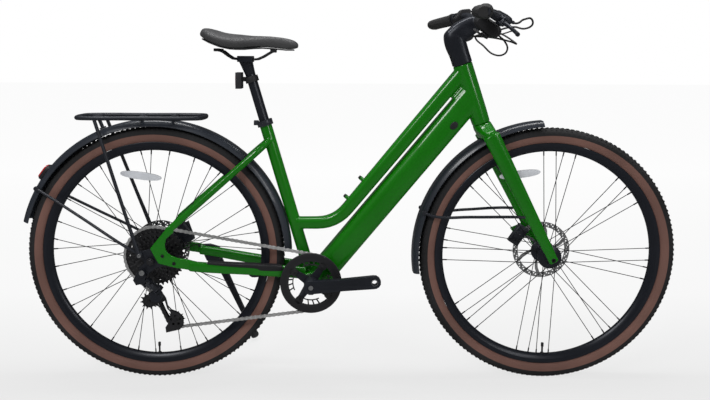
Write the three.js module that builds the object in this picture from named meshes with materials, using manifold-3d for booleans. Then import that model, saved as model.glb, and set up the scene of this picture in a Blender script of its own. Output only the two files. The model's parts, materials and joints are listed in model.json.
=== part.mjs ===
// Step-through trekking bike with a rear hub motor, in millimetres.
// +X is forward, +Y is the rider's left and +Z is up. The sketch frame of this file has its
// zero below the rear axle on the ground; the finished group is moved so that its zero is the
// middle of its footprint.
import * as THREE from "three";
import { mergeVertices } from "three/addons/utils/BufferGeometryUtils.js";
import Module from "manifold-3d";

const wasm = await Module();
wasm.setup();

// Driving dimensions: wheels
const wheelbase = 1072.5;
const tyreRadius = 351;
const tyreWidth = 40;
const tyreSidewallRadius = 334;
const beadRadius = 313;
const rimFlangeRadius = 319;
const rimWidth = 25;
const rimWellWidth = 17;
const rimShoulderRadius = 307;
const rimInnerRadius = 297;
const rimSpokeBedWidth = 10;
const wheelSegments = 30;
const spokeRadius = 1.2;
const spokeSides = 3;
const valveRadius = 3;
const valveLength = 34;

// Driving dimensions: front hub and axle
const frontHubWidth = 100;
const frontHubRadius = 19;
const frontFlangeRadius = 29;
const frontFlangeHalfGap = 29;
const frontSpokes = 32;
const axleRadius = 6;

// Driving dimensions: rear hub motor and axle
const rearHubWidth = 135;
const motorRadius = 56;
const motorHalfGap = 20;
const motorFlangeRadius = 62;
const rearSpokes = 36;
const axleNutRadius = 10.5;
const axleNutLength = 9;
const axleOverhang = 2.5;

// Driving dimensions: brake rotors and calipers
const rotorRadius = 80;
const rotorBandWidth = 15;
const rotorThickness = 1.8;
const rotorCarrierRadius = 24;
const rotorArms = 6;
const frontRotorY = 40;
const rearRotorY = 46;
const caliperLength = 58;
const caliperDepth = 30;
const caliperInnerReach = 10.5;
const caliperOuterReach = 7;

// Driving dimensions: frame
const bracketX = 424;
const bracketZ = 285;
const seatTubeAngle = THREE.MathUtils.degToRad(73.6);
const headAngle = THREE.MathUtils.degToRad(71);
const headTopX = 828.3;
const headTopZ = 872;
const headTubeLength = 167;
const headTubeRadius = 26;
const headTubeBore = 21.5;
const seatTubeLength = 443;
const seatTubeRadius = 16.5;
const seatPostRadius = 13.6;
const bracketShellRadius = 22;
const bracketShellWidth = 73;
const bracketShellBore = 17.5;
const downTubeDepth = 64;
const downTubeWidth = 60;
const downTubeJoin = 90;
const downTubeBelowBracket = 11.5;
const topTubeJoin = 17.5;
const topTubeDepth = 44;
const topTubeEndDepth = 32;
const topTubeWidth = 42;
const topTubeEndWidth = 32;
const topTubeSlope = THREE.MathUtils.degToRad(51.3);
const topTubeEndZ = 437.5;
const topTubeBendLength = 51;
const seatStayRadius = 9.5;
const seatStayTop = 398;
const chainStayHeight = 27;
const chainStayWidth = 18;
const chainStayEndHeight = 33;
const bridgeRadius = 7;
const dropoutThickness = 7;
const insertThickness = 6;

// Driving dimensions: steering
const forkRake = 60.8;
const steererRadius = 14.3;
const crownHeight = 33;
const crownHalfWidth = 61;
const bladeTopDepth = 45;
const bladeTopWidth = 27;
const bladeTipDepth = 26;
const bladeTipWidth = 13;
const barCentreX = 872;
const barCentreZ = 985;
const barRadius = 11.1;
const barClampRadius = 15.9;
const barHalfWidth = 313;
const gripLength = 128;
const gripRadius = 16.5;

// Driving dimensions: seat
const saddleLength = 263;
const saddleWidth = 165;
const saddleNoseWidth = 44;
const saddleTopZ = 968;
const saddleRearX = 128;
const railHalfGap = 22;
const railRadius = 3.5;
const postLength = 350;
const postHeadZ = 884;

// Driving dimensions: drivetrain
const chainPitch = 12.7;
const rollerRadius = 3.7;
const chainringTeeth = 38;
const cogTeeth = [40, 34, 28, 24, 21, 18, 15, 13, 11];
const cogPitch = 4.35;
const largestCogY = -30;
const chainringY = -48;
const pulleyTeeth = 11;
const toothThickness = 1.8;
const crankLength = 168.6;
const crankAngle = THREE.MathUtils.degToRad(5);
const crankDepth = 34;
const crankThickness = 14;
const crankOuterY = 94;
const spindleRadius = 8.5;
const guardRadius = 83;
const guardInnerRadius = 60;
const guardThickness = 3;
const boltCircleRadius = 52;
const spiderArms = 4;
const guidePulleyX = -18;
const guidePulleyZ = 225;
const cagePivotX = 8;
const cagePivotZ = 247;
const pulleyDistance = 89;
const chainLinks = 112;

// Driving dimensions: fenders, rack and stand
const fenderGap = 20;
const fenderHalfWidth = 28;
const fenderDrop = 15;
const fenderWall = 2;
const rackDeckZ = 728;
const rackTubeRadius = 6;
const rackLegRadius = 4.8;
const rackHalfWidth = 48;
const rackRearX = -200;
const rackFrontX = 136;
const stayWireRadius = 3.8;
const standPivotX = 128;
const standPivotZ = 322;
const standLegRadius = 8;
const standFootX = 274;
const standFootY = 232;
const standFootZ = 14;

// Clearances
const seatGap = 0.3;
const runGap = 0.6;
const overrun = 4;

// Places worked out from the driving dimensions
const rearAxle = new THREE.Vector3(0, 0, tyreRadius);
const frontAxle = new THREE.Vector3(wheelbase, 0, tyreRadius);
const bracket = new THREE.Vector3(bracketX, 0, bracketZ);
const xAxis = new THREE.Vector3(1, 0, 0);
const yAxis = new THREE.Vector3(0, 1, 0);
const seatUp = new THREE.Vector3(-Math.cos(seatTubeAngle), 0, Math.sin(seatTubeAngle));
const steerDown = new THREE.Vector3(Math.cos(headAngle), 0, -Math.sin(headAngle));
const steerForward = new THREE.Vector3(Math.sin(headAngle), 0, Math.cos(headAngle));
const headTop = new THREE.Vector3(headTopX, 0, headTopZ);


// A place on the seat tube's axis, measured up from the bottom bracket.
const seatPoint = (up) => bracket.clone().addScaledVector(seatUp, up);
// A place on the steering axis, measured down from the head tube's top, and forward of it.
const steerPoint = (down, forward = 0) =>
  headTop.clone().addScaledVector(steerDown, down).addScaledVector(steerForward, forward);
const at = (x, y, z) => new THREE.Vector3(x, y, z);

// Solids, joins and cuts

function solidOf(geometry) {
  const bare = geometry.clone();
  bare.deleteAttribute("normal");
  bare.deleteAttribute("uv");
  const merged = mergeVertices(bare, 1e-4);
  const triVerts = new Uint32Array(merged.index.array);
  const vertProperties = new Float32Array(merged.attributes.position.array);
  const made = new wasm.Manifold(new wasm.Mesh({ numProp: 3, vertProperties, triVerts }));
  if (made.volume() >= 0) return made;
  for (let i = 0; i < triVerts.length; i += 3) {
    [triVerts[i + 1], triVerts[i + 2]] = [triVerts[i + 2], triVerts[i + 1]];
  }
  return new wasm.Manifold(new wasm.Mesh({ numProp: 3, vertProperties, triVerts }));
}

function geometryOf(solid) {
  const { numProp, vertProperties, triVerts } = solid.getMesh();
  const count = vertProperties.length / numProp;
  const position = new Float32Array(count * 3);
  for (let i = 0; i < count; i += 1) {
    position.set(vertProperties.subarray(i * numProp, i * numProp + 3), i * 3);
  }
  const geometry = new THREE.BufferGeometry();
  geometry.setAttribute("position", new THREE.BufferAttribute(position, 3));
  geometry.setIndex(new THREE.BufferAttribute(triVerts, 1));
  geometry.computeVertexNormals();
  return geometry;
}

const asSolid = (thing) => (thing.isBufferGeometry ? solidOf(thing) : thing);
const join = (...things) => things.map(asSolid).reduce((whole, next) => whole.add(next));
const cut = (base, ...tools) => tools.map(asSolid).reduce((left, tool) => left.subtract(tool), asSolid(base));
const common = (a, b) => asSolid(a).intersect(asSolid(b));

// Basic forms

// A straight round bar between two places, which may taper.
function rod(from, to, radius, endRadius = radius, sides = 10) {
  const along = to.clone().sub(from).normalize();
  const across = Math.abs(along.y) < Math.SQRT1_2 ? yAxis : xAxis;
  return loft([ring(from, along, radius, radius, 2, sides, across), ring(to, along, endRadius, endRadius, 2, sides, across)]);
}

// A cylinder whose axis runs across the bike, from y0 to y1.
const crossRod = (x, z, y0, y1, radius, sides = 12) => rod(at(x, y0, z), at(x, y1, z), radius, radius, sides);

// A box from one corner to the opposite one.
function block(low, high) {
  const size = high.clone().sub(low);
  const middle = high.clone().add(low).multiplyScalar(1 / 2);
  return new THREE.BoxGeometry(...size.toArray()).translate(...middle.toArray());
}

// A flat plate in a plane along the bike, drawn as [x, z] places, between y0 and y1.
function plate(outline, y0, y1, curveSegments = 8) {
  const shape = outline instanceof THREE.Shape ? outline : new THREE.Shape(outline.map(([x, z]) => new THREE.Vector2(x, z)));
  const depth = Math.abs(y1 - y0);
  const options = { depth, bevelEnabled: false, curveSegments };
  return new THREE.ExtrudeGeometry(shape, options).rotateX(Math.PI / 2).translate(0, Math.max(y0, y1), 0);
}

// A ring turned about the Y axis from a closed list of [radius, y] places.
function turned(profile, segments = wheelSegments) {
  const points = [...profile, profile[0]].map(([radius, y]) => new THREE.Vector2(radius, y));
  return new THREE.LatheGeometry(points, segments);
}

// A disc or tube about the Y axis.
function disc(radius, y0, y1, boreRadius = 0, segments = 24) {
  if (boreRadius === 0) return new THREE.CylinderGeometry(radius, radius, Math.abs(y1 - y0), segments)
    .translate(0, (y0 + y1) / 2, 0);
  return turned([[boreRadius, y0], [radius, y0], [radius, y1], [boreRadius, y1]], segments);
}

// One closed ring of places round a centre: a superellipse of half sizes a (sideways) and b.
function ring(centre, tangent, a, b, power = 2, count = 12, across = yAxis) {
  const side = across.clone().addScaledVector(tangent, -tangent.dot(across)).normalize();
  const up = tangent.clone().cross(side).normalize();
  const places = [];
  for (let i = 0; i < count; i += 1) {
    const angle = ((i + 1 / 2) / count) * Math.PI * 2;
    const c = Math.sign(Math.cos(angle)) * Math.abs(Math.cos(angle)) ** (2 / power);
    const s = Math.sign(Math.sin(angle)) * Math.abs(Math.sin(angle)) ** (2 / power);
    places.push(centre.clone().addScaledVector(side, a * c).addScaledVector(up, b * s));
  }
  return places;
}

// A skin over a row of rings with the same number of places, closed by flat ends.
function loft(rings) {
  const count = rings[0].length;
  const position = rings.flat().flatMap((place) => place.toArray());
  const index = [];
  for (let r = 0; r + 1 < rings.length; r += 1) {
    for (let i = 0; i < count; i += 1) {
      const next = (i + 1) % count;
      const a = r * count + i;
      const b = r * count + next;
      index.push(a, b, a + count, b, b + count, a + count);
    }
  }
  const last = (rings.length - 1) * count;
  for (const [start, turnedOver] of [[0, true], [last, false]]) {
    for (const [a, b, c] of capOf(rings[start / count])) {
      index.push(start + a, start + (turnedOver ? c : b), start + (turnedOver ? b : c));
    }
  }
  const geometry = new THREE.BufferGeometry();
  geometry.setAttribute("position", new THREE.Float32BufferAttribute(position, 3));
  geometry.setIndex(index);
  return geometry;
}

// The triangles that close one ring, which may be hollowed like a trough.
function capOf(places) {
  const normal = new THREE.Vector3();
  places.forEach((place, i) => normal.add(place.clone().cross(places[(i + 1) % places.length])));
  normal.normalize();
  const u = places[1].clone().sub(places[0]).normalize();
  u.addScaledVector(normal, -normal.dot(u)).normalize();
  const v = normal.clone().cross(u);
  return THREE.ShapeUtils.triangulateShape(places.map((p) => new THREE.Vector2(p.dot(u), p.dot(v))), []);
}

// A tube whose section changes: stations are [place, half width, half depth].
function taperTube(stations, power = 2, count = 12, across = yAxis) {
  const rings = stations.map(([place, a, b], i) => {
    const before = stations[Math.max(i - 1, 0)][0];
    const after = stations[Math.min(i + 1, stations.length - 1)][0];
    return ring(place, after.clone().sub(before).normalize(), a, b, power, count, across);
  });
  return loft(rings);
}

// A round tube along a smooth curve through the places.
function tubeAlong(places, radius, sides = 6, steps = 24) {
  const shape = new THREE.Shape();
  for (let i = 0; i <= sides; i += 1) {
    const angle = (i / sides) * Math.PI * 2;
    const place = [radius * Math.cos(angle), radius * Math.sin(angle)];
    if (i === 0) shape.moveTo(...place);
    else shape.lineTo(...place);
  }
  const extrudePath = new THREE.CatmullRomCurve3(places, false, "centripetal");
  return new THREE.ExtrudeGeometry(shape, { steps, bevelEnabled: false, extrudePath });
}

// The radius of a many-sided hole whose flats still clear a bar turning in it.
const boreFor = (radius, sides) => (radius + seatGap) / Math.cos(Math.PI / sides);

// Finishes

const finish = (color, roughness, metalness) => () =>
  new THREE.MeshStandardMaterial({ color, roughness, metalness });
const greenPaint = finish(0x1f7a12, 0.25, 0.1);
const satinBlack = finish(0x17181c, 0.5, 0.3);
const blackPlastic = finish(0x1c1d20, 0.6, 0);
const blackRubber = finish(0x141415, 0.85, 0);
const steel = finish(0x9a9b9e, 0.3, 1);
const darkSteel = finish(0x2c2d30, 0.45, 0.8);
const tyreFinish = finish(0x16161a, 0.9, 0);
const redLens = finish(0xb01217, 0.2, 0);

function piece(parent, name, shape, material) {
  const geometry = shape.isBufferGeometry ? shape : geometryOf(shape);
  const mesh = new THREE.Mesh(geometry, material());
  mesh.name = name;
  parent.add(mesh);
  return mesh;
}

function groupAt(parent, place) {
  const group = new THREE.Group();
  group.position.copy(place);
  parent.add(group);
  return group;
}

// Frame

const sides = [-1, 1];
const axleHalf = rearHubWidth / 2;
const insertY = axleHalf + insertThickness / 2;
const dropoutInner = axleHalf + insertThickness + seatGap;
const dropoutY = dropoutInner + dropoutThickness / 2;
const fenderOuter = distanceToSeatTube() - seatTubeRadius - seatGap;

// The distance from the rear axle to the seat tube's axis.
function distanceToSeatTube() {
  const normal = at(seatUp.z, 0, -seatUp.x);
  return Math.abs(normal.dot(bracket.clone().sub(rearAxle)));
}

function headTube() {
  const top = steerPoint(0);
  const flareStart = steerPoint(headTubeLength * 0.8);
  const bottom = steerPoint(headTubeLength);
  return taperTube([
    [top, headTubeRadius, headTubeRadius],
    [flareStart, headTubeRadius, headTubeRadius - 1],
    [bottom, headTubeRadius, headTubeRadius - 2],
  ], 2, 16);
}

function downTube() {
  const top = steerPoint(downTubeJoin);
  const along = top.clone().sub(bracket).normalize();
  const belowBracket = bracket.clone().addScaledVector(at(along.z, 0, -along.x), downTubeBelowBracket);
  const tail = belowBracket.clone().addScaledVector(along, -bracketShellRadius / 2);
  const widthShareAtHead = 0.8;
  const depth = downTubeDepth / 2;
  const width = downTubeWidth / 2;
  return taperTube([
    [tail, width * widthShareAtHead, depth / 2],
    [belowBracket.clone().addScaledVector(along, bracketShellRadius), width, depth],
    [belowBracket.clone().lerp(top, 0.7), width, depth],
    [top, width * widthShareAtHead, depth],
  ], 3.2, 14);
}

function topTube() {
  const top = steerPoint(topTubeJoin);
  const along = at(-Math.cos(topTubeSlope), 0, -Math.sin(topTubeSlope));
  const corner = top.clone().addScaledVector(along, (topTubeEndZ - top.z) / along.z);
  const bendStart = corner.clone().addScaledVector(along, -topTubeBendLength);
  const bendEnd = corner.clone().add(at(-topTubeBendLength, 0, 0));
  const end = seatPoint((topTubeEndZ - bracketZ) / seatUp.z);
  const bendSteps = 3;
  const bend = new THREE.QuadraticBezierCurve3(bendStart, corner, bendEnd);
  const places = [top, top.clone().lerp(bendStart, 0.5), ...bend.getPoints(bendSteps), end];
  const run = top.distanceTo(end);
  return taperTube(places.map((place) => {
    const share = place.distanceTo(top) / run;
    const width = THREE.MathUtils.lerp(topTubeWidth, topTubeEndWidth, share);
    const depth = THREE.MathUtils.lerp(topTubeDepth, topTubeEndDepth, share ** 3);
    return [place, width / 2, depth / 2];
  }), 3.2, 10);
}

// The short web that closes the narrow slot between the two tubes just behind the head tube.
function headWeb() {
  const webLength = 58;
  const webHalfWidth = 17;
  const webHalfDepth = 13;
  const start = steerPoint((topTubeJoin + downTubeJoin) / 2);
  const back = at(-Math.cos(topTubeSlope), 0, -Math.sin(topTubeSlope));
  const end = start.clone().addScaledVector(back, webLength);
  return taperTube([[start, webHalfWidth, webHalfDepth], [end, webHalfWidth, webHalfDepth]], 3.2, 8);
}

// The seat stays run straight in side view and swing out round the wheel.
const seatStaySpread = [[0, 0.1], [0.13, 0.46], [0.43, 0.65], [0.74, 0.86], [1, 1]];
const seatStayEnd = at(46, 0, 432);
const seatStayPlace = (share) => seatPoint(seatStayTop).lerp(seatStayEnd, share);

function seatStay(side, grow = 0) {
  const flatShare = 0.4;
  return taperTube(seatStaySpread.map(([share, spreadShare], i) => {
    const place = seatStayPlace(share).setY(side * spreadShare * dropoutY);
    const atEnd = i === seatStaySpread.length - 1;
    return [place, seatStayRadius * (atEnd ? flatShare : 1) + grow, seatStayRadius + grow];
  }), 2, 8);
}

// The chain stays: [x, y, share of the way from the wheel end's section to the bracket's].
const chainStayRun = [
  [104, dropoutY - 2, 0], [150, 71, 0.1], [260, 48, 0.5], [345, 33, 0.9], [408, 26, 1],
];
const chainStayZ = (x) => THREE.MathUtils.mapLinear(x, chainStayRun[0][0], bracketX, 338, 302);

function chainStay(side, grow = 0) {
  return taperTube(chainStayRun.map(([x, y, share]) => {
    const height = THREE.MathUtils.lerp(chainStayHeight, chainStayEndHeight, share);
    return [at(x, side * y, chainStayZ(x)), chainStayWidth / 2 + grow, height / 2 + grow];
  }), 3, 8);
}

// The outer dropout plate that ends both stays on one side.
function dropoutPlate(side) {
  const shape = new THREE.Shape();
  shape.moveTo(0, 386);
  shape.lineTo(21, 346);
  shape.lineTo(72, 333);
  shape.lineTo(126, 325);
  shape.lineTo(126, 350);
  shape.lineTo(96, 358);
  shape.quadraticCurveTo(26, 362, 43, 412);
  shape.lineTo(64, 431);
  shape.lineTo(50, 447);
  shape.closePath();
  const inner = side * dropoutInner;
  return plate(shape, inner, inner + side * dropoutThickness, 4);
}

// The bolted insert that holds the axle: its outline also carries the eyelet and the hanger.
const eyelet = at(-27, 0, 369);
const hangerBolt = at(-22, 0, 320);

function insertOutline(hasHanger) {
  const rear = [[-37, 368], [-32, 378], [-20, 378], [2, 384], [14, 389], [26, 384]];
  const front = [[56, 362], [60, 348], [52, 341], [12, 332]];
  const hanger = [[-8, 314], [-20, 307], [-33, 314], [-32, 332], [-16, 346]];
  const bottom = [[-8, 336], [-16, 346]];
  return [...rear, ...front, ...(hasHanger ? hanger : bottom)];
}

function insertPlate(side) {
  const solid = plate(insertOutline(side < 0), side * axleHalf, side * (axleHalf + insertThickness));
  return cut(solid, crossRod(0, tyreRadius, -axleHalf * 2, axleHalf * 2, axleRadius + seatGap));
}

// The tab for the rear brake caliper, which stands on the left insert.
const rearCaliperAngle = THREE.MathUtils.degToRad(36);
const rearCaliperPlace = rearAxle.clone()
  .add(at(rotorRadius * Math.cos(rearCaliperAngle), 0, rotorRadius * Math.sin(rearCaliperAngle)));

function brakeTab() {
  const { x, z } = rearCaliperPlace;
  const outline = [[20, 350], [52, 345], [x + 26, z - 26], [x + 8, z + 26], [x - 22, z + 10], [14, 389]];
  return plate(outline, axleHalf, axleHalf + insertThickness);
}

function bisect(low, high, isLow) {
  let [from, to] = [low, high];
  for (let i = 0; i < 50; i += 1) {
    const middle = (from + to) / 2;
    if (isLow(middle)) from = middle;
    else to = middle;
  }
  return (from + to) / 2;
}

// The bridge between the seat stays just touches the fender's back.
function seatStayBridge() {
  const reach = fenderOuter + seatGap + bridgeRadius;
  const share = bisect(0, 1 / 2, (t) => seatStayPlace(t).distanceTo(rearAxle) > reach);
  const { x, z } = seatStayPlace(share);
  const half = seatStaySpread[1][1] * dropoutY;
  return crossRod(x, z, -half, half, bridgeRadius, 8);
}

function chainStayBridge() {
  const x = bracketX - bracketShellRadius - bridgeRadius * 3;
  const half = chainStayRun.at(-2)[1];
  return crossRod(x, chainStayZ(x), -half, half, bridgeRadius, 8);
}

function bracketShell() {
  const half = bracketShellWidth / 2;
  return crossRod(bracketX, bracketZ, -half, half, bracketShellRadius, 16);
}

const postBore = seatPostRadius + seatGap + 0.1;
const postBoreDepth = 285;
const seatCollarHeight = 15;
const seatCollarWall = 5;
const seatCollarLip = 10;
const seatEarHalf = 6;

function frameBody() {
  const tubes = [headTube(), downTube(), topTube(), headWeb(),
    rod(bracket, seatPoint(seatTubeLength), seatTubeRadius, seatTubeRadius, 14),
    seatStayBridge(), chainStayBridge(), bracketShell()];
  const ends = sides.flatMap((side) => [seatStay(side), chainStay(side), dropoutPlate(side)]);
  const leftInsert = join(insertPlate(1), cut(brakeTab(),
    crossRod(0, tyreRadius, 0, axleHalf * 2, axleRadius + seatGap)));
  const leftJoint = crossRod(36, 358, axleHalf + 1, dropoutInner + 1, dropoutThickness, 8);
  const shellHalf = bracketShellWidth / 2 + overrun;
  return cut(join(...tubes, ...ends, leftInsert, leftJoint),
    rod(steerPoint(-overrun), steerPoint(headTubeLength + overrun), headTubeBore, headTubeBore, 16),
    rod(seatPoint(seatTubeLength - postBoreDepth), seatPoint(seatTubeLength + overrun), postBore, postBore, 14),
    crossRod(bracketX, bracketZ, -shellHalf, shellHalf, bracketShellBore, 16));
}

// The collar on the seat tube's mouth: it grips the tube below its step and the post above it.
function seatClamp() {
  const collarRadius = seatTubeRadius + seatCollarWall;
  const top = seatTubeLength + seatCollarLip;
  const ear = seatPoint(top - seatCollarHeight / 2).sub(at(collarRadius + seatEarHalf / 3, 0, 0));
  const earCorner = at(seatEarHalf, seatEarHalf * 1.5, seatEarHalf);
  const collar = join(rod(seatPoint(top - seatCollarHeight), seatPoint(top), collarRadius, collarRadius, 14),
    block(ear.clone().sub(earCorner), ear.clone().add(earCorner)));
  const tubeSeat = seatTubeRadius + seatGap;
  return cut(collar, rod(seatPoint(top - seatCollarHeight - overrun), seatPoint(seatTubeLength + seatGap), tubeSeat, tubeSeat, 14),
    rod(seatPoint(seatTubeLength), seatPoint(top + overrun), postBore, postBore, 14));
}

// A rubber guard wrapped over the top of the right chain stay.
function stayGuard() {
  const guardStart = 215;
  const guardEnd = 338;
  const guardWall = 2;
  const low = at(guardStart, -dropoutY, chainStayZ(guardStart) - 2);
  const high = at(guardEnd, 0, chainStayZ(guardStart) + chainStayHeight);
  return cut(common(chainStay(-1, guardWall + seatGap), block(low, high)), chainStay(-1, seatGap));
}

// Bottom bracket, headset and rear axle

function bottomBracket() {
  const half = bracketShellWidth / 2;
  const cupFlange = 1.6;
  const cupSides = 10;
  const bore = boreFor(spindleRadius, cupSides);
  const outer = bracketShellBore * Math.cos(Math.PI / 16) - seatGap;
  const lip = bracketShellBore + 2;
  const profile = [
    [bore, -half - cupFlange], [lip, -half - cupFlange], [lip, -half - seatGap], [outer, -half - seatGap],
    [outer, half + seatGap], [lip, half + seatGap], [lip, half + cupFlange], [bore, half + cupFlange],
  ];
  return turned(profile, cupSides);
}

function headsetBearing(down) {
  const bearingHeight = 8;
  const outer = headTubeBore - seatGap - 0.2;
  const bearingSides = 14;
  const bore = boreFor(steererRadius, bearingSides);
  const [from, to] = [steerPoint(down), steerPoint(down + bearingHeight)];
  return cut(rod(from, to, outer, outer, bearingSides),
    rod(steerPoint(down - overrun), steerPoint(down + bearingHeight + overrun), bore, bore, bearingSides));
}

function rearAxleBody() {
  const nutStart = axleHalf + insertThickness + seatGap;
  const end = nutStart + axleNutLength + axleOverhang;
  const nuts = sides.map((side) =>
    crossRod(0, tyreRadius, side * nutStart, side * (nutStart + axleNutLength), axleNutRadius, 6));
  return join(crossRod(0, tyreRadius, -end, end, axleRadius, 10), ...nuts);
}

// Wheels

function tyre() {
  const half = tyreWidth / 2;
  const bead = rimWellWidth / 2 - seatGap;
  const base = beadRadius;
  const shoulder = tyreRadius - 9;
  return turned([
    [base, -bead], [rimFlangeRadius + seatGap, -bead], [tyreSidewallRadius, -half],
    [shoulder + 4, -half * 0.75], [tyreRadius, -half * 0.25], [tyreRadius, half * 0.25], [shoulder + 4, half * 0.75],
    [tyreSidewallRadius, half], [rimFlangeRadius + seatGap, bead], [base, bead],
  ]);
}

function rim() {
  const half = rimWidth / 2;
  const well = rimWellWidth / 2;
  const bed = rimSpokeBedWidth / 2;
  const ringSolid = turned([
    [rimInnerRadius, -bed], [rimShoulderRadius, -half], [rimFlangeRadius, -half], [rimFlangeRadius, -well],
    [beadRadius - seatGap, -well], [beadRadius - seatGap, well], [rimFlangeRadius, well], [rimFlangeRadius, half],
    [rimShoulderRadius, half], [rimInnerRadius, bed],
  ]);
  const valve = rod(at(0, 0, -rimShoulderRadius), at(0, 0, valveLength - rimInnerRadius), valveRadius, valveRadius, 6);
  return join(ringSolid, valve);
}

// One wheel's hub shell with its tangential spokes, which end just short of the rim.
function spokedHub(shell, count, cross, flangeRadius, flangeYs, flangeStagger) {
  const spokeEnd = (rimInnerRadius - spokeRadius / 2) * Math.cos(Math.PI / wheelSegments) - seatGap;
  const perFlange = count / 2;
  const spokes = [];
  for (let i = 0; i < count; i += 1) {
    const side = i % 2 === 0 ? 1 : -1;
    const onFlange = Math.floor(i / 2);
    const leads = onFlange % 2 === 0 ? 1 : -1;
    const hole = ((onFlange + (side > 0 ? 0 : 1 / 2)) / perFlange) * Math.PI * 2;
    const swing = leads * cross * (Math.PI * 2 / perFlange);
    const rimAngle = hole + swing;
    const y = flangeYs[side > 0 ? 1 : 0] + leads * flangeStagger;
    const start = at(flangeRadius * Math.cos(hole), y, flangeRadius * Math.sin(hole));
    const end = at(spokeEnd * Math.cos(rimAngle), side, spokeEnd * Math.sin(rimAngle));
    spokes.push(asSolid(rod(start, end, spokeRadius, spokeRadius, spokeSides)));
  }
  return wasm.Manifold.union([asSolid(shell), ...spokes]);
}

function frontHub() {
  const bore = axleRadius + seatGap + 0.2;
  const half = frontHubWidth / 2 - runGap;
  const rotorSeat = frontRotorY - rotorThickness / 2 - seatGap;
  const flangeIn = frontFlangeHalfGap - 3.5;
  const flangeOut = frontFlangeHalfGap + 3.5;
  const shell = turned([
    [bore, -half], [frontHubRadius * 0.6, -half], [frontFlangeRadius + 3, -flangeOut],
    [frontFlangeRadius + 3, -flangeIn], [frontHubRadius, -flangeIn + 3], [frontHubRadius, flangeIn - 3],
    [frontFlangeRadius + 3, flangeIn], [frontFlangeRadius + 3, flangeOut], [rotorCarrierRadius - 2, rotorSeat],
    [frontHubRadius * 0.6, rotorSeat], [frontHubRadius * 0.6, half], [bore, half],
  ], 14);
  return spokedHub(shell, frontSpokes, 1.35, frontFlangeRadius, [-frontFlangeHalfGap, frontFlangeHalfGap], 1.2);
}

function rearHub() {
  const bore = axleRadius + seatGap + 0.2;
  const right = -largestCogY - toothThickness / 2 - 2.4;
  const left = axleHalf - runGap;
  const rotorSeat = rearRotorY - rotorThickness / 2 - seatGap;
  const shell = turned([
    [bore, -right], [motorRadius * 0.6, -right], [motorFlangeRadius + 2, -motorHalfGap + 1],
    [motorFlangeRadius + 2, -motorHalfGap + 7], [motorRadius, -motorHalfGap + 8], [motorRadius, motorHalfGap - 1],
    [motorFlangeRadius + 2, motorHalfGap], [motorFlangeRadius + 2, motorHalfGap + 6],
    [rotorCarrierRadius, rotorSeat], [frontHubRadius * 0.6, rotorSeat],
    [frontHubRadius * 0.6, left], [bore, left],
  ], 16);
  return spokedHub(shell, rearSpokes, 0.9, motorFlangeRadius - 1, [4 - motorHalfGap, motorHalfGap + 3], 1.2);
}

// A brake rotor: a braking band on slanted arms, cut from one sheet.
function rotor() {
  const half = rotorThickness / 2;
  const bandInner = rotorRadius - rotorBandWidth;
  const bore = frontHubRadius * 0.6 + seatGap * 2;
  const armShare = 0.2;
  const armLean = 0.42;
  const sector = (Math.PI * 2) / rotorArms;
  const round = (radius, from, to, steps) => Array.from({ length: steps + 1 }, (_, i) => {
    const angle = THREE.MathUtils.lerp(from, to, i / steps);
    return new THREE.Vector2(radius * Math.cos(angle), radius * Math.sin(angle));
  });
  const shape = new THREE.Shape(round(rotorRadius, 0, Math.PI * 2, 26).slice(0, -1));
  shape.holes.push(new THREE.Path(round(bore, 0, Math.PI * 2, 10).slice(0, -1)));
  for (let i = 0; i < rotorArms; i += 1) {
    const start = i * sector;
    const opening = sector * (1 - armShare);
    shape.holes.push(new THREE.Path([...round(bandInner, start + armLean, start + armLean + opening, 3),
      ...round(rotorCarrierRadius, start, start + opening * 0.8, 1).reverse()]));
  }
  return plate(shape, -half, half);
}

function buildWheel(parent, prefix, axle, hub, rotorY) {
  const wheel = groupAt(parent, axle);
  piece(wheel, `${prefix}_tyre`, tyre(), tyreFinish);
  piece(wheel, `${prefix}_rim`, rim(), satinBlack);
  piece(wheel, `${prefix}_hub`, hub, satinBlack);
  piece(wheel, `${prefix}_rotor`, rotor(), steel).position.y = rotorY;
}

// Fenders

// A trough-shaped fender over one wheel, from one angle round to the other.
function fender(axle, fromAngle, toAngle, steps) {
  const crownShares = [[-1, 1], [-0.8, 0.35], [0, 0], [0.8, 0.35], [1, 1]];
  const rings = [];
  for (let i = 0; i <= steps; i += 1) {
    const angle = THREE.MathUtils.lerp(fromAngle, toAngle, i / steps);
    const out = at(Math.cos(angle), 0, Math.sin(angle));
    const place = ([y, drop], wall) => axle.clone()
      .addScaledVector(out, fenderOuter - wall - drop * fenderDrop).setY(y * (fenderHalfWidth - wall));
    rings.push([
      ...crownShares.map((share) => place(share, 0)),
      ...[...crownShares].reverse().map((share) => place(share, fenderWall)),
    ]);
  }
  return loft(rings);
}

const degrees = THREE.MathUtils.degToRad;
const rearFenderStart = degrees(2);
const rearFenderEnd = degrees(165.5);
const frontFenderStart = degrees(94);
const frontFenderEnd = degrees(188);

// A reflector on its block, sunk on to the rear fender's back.
function fenderReflector() {
  const angle = degrees(143);
  const height = 44;
  const depth = 15;
  const halfWidth = 24;
  const sink = fenderWall * 1.4;
  const radius = fenderOuter + depth / 2 - sink;
  const body = new THREE.CylinderGeometry(halfWidth, halfWidth * 0.8, depth, 10).scale(1, 1, height / 2 / halfWidth);
  const turn = new THREE.Quaternion().setFromUnitVectors(yAxis, at(Math.cos(angle), 0, Math.sin(angle)));
  return body.applyQuaternion(turn).translate(
    rearAxle.x + Math.cos(angle) * radius, 0, rearAxle.z + Math.sin(angle) * radius);
}

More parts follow.
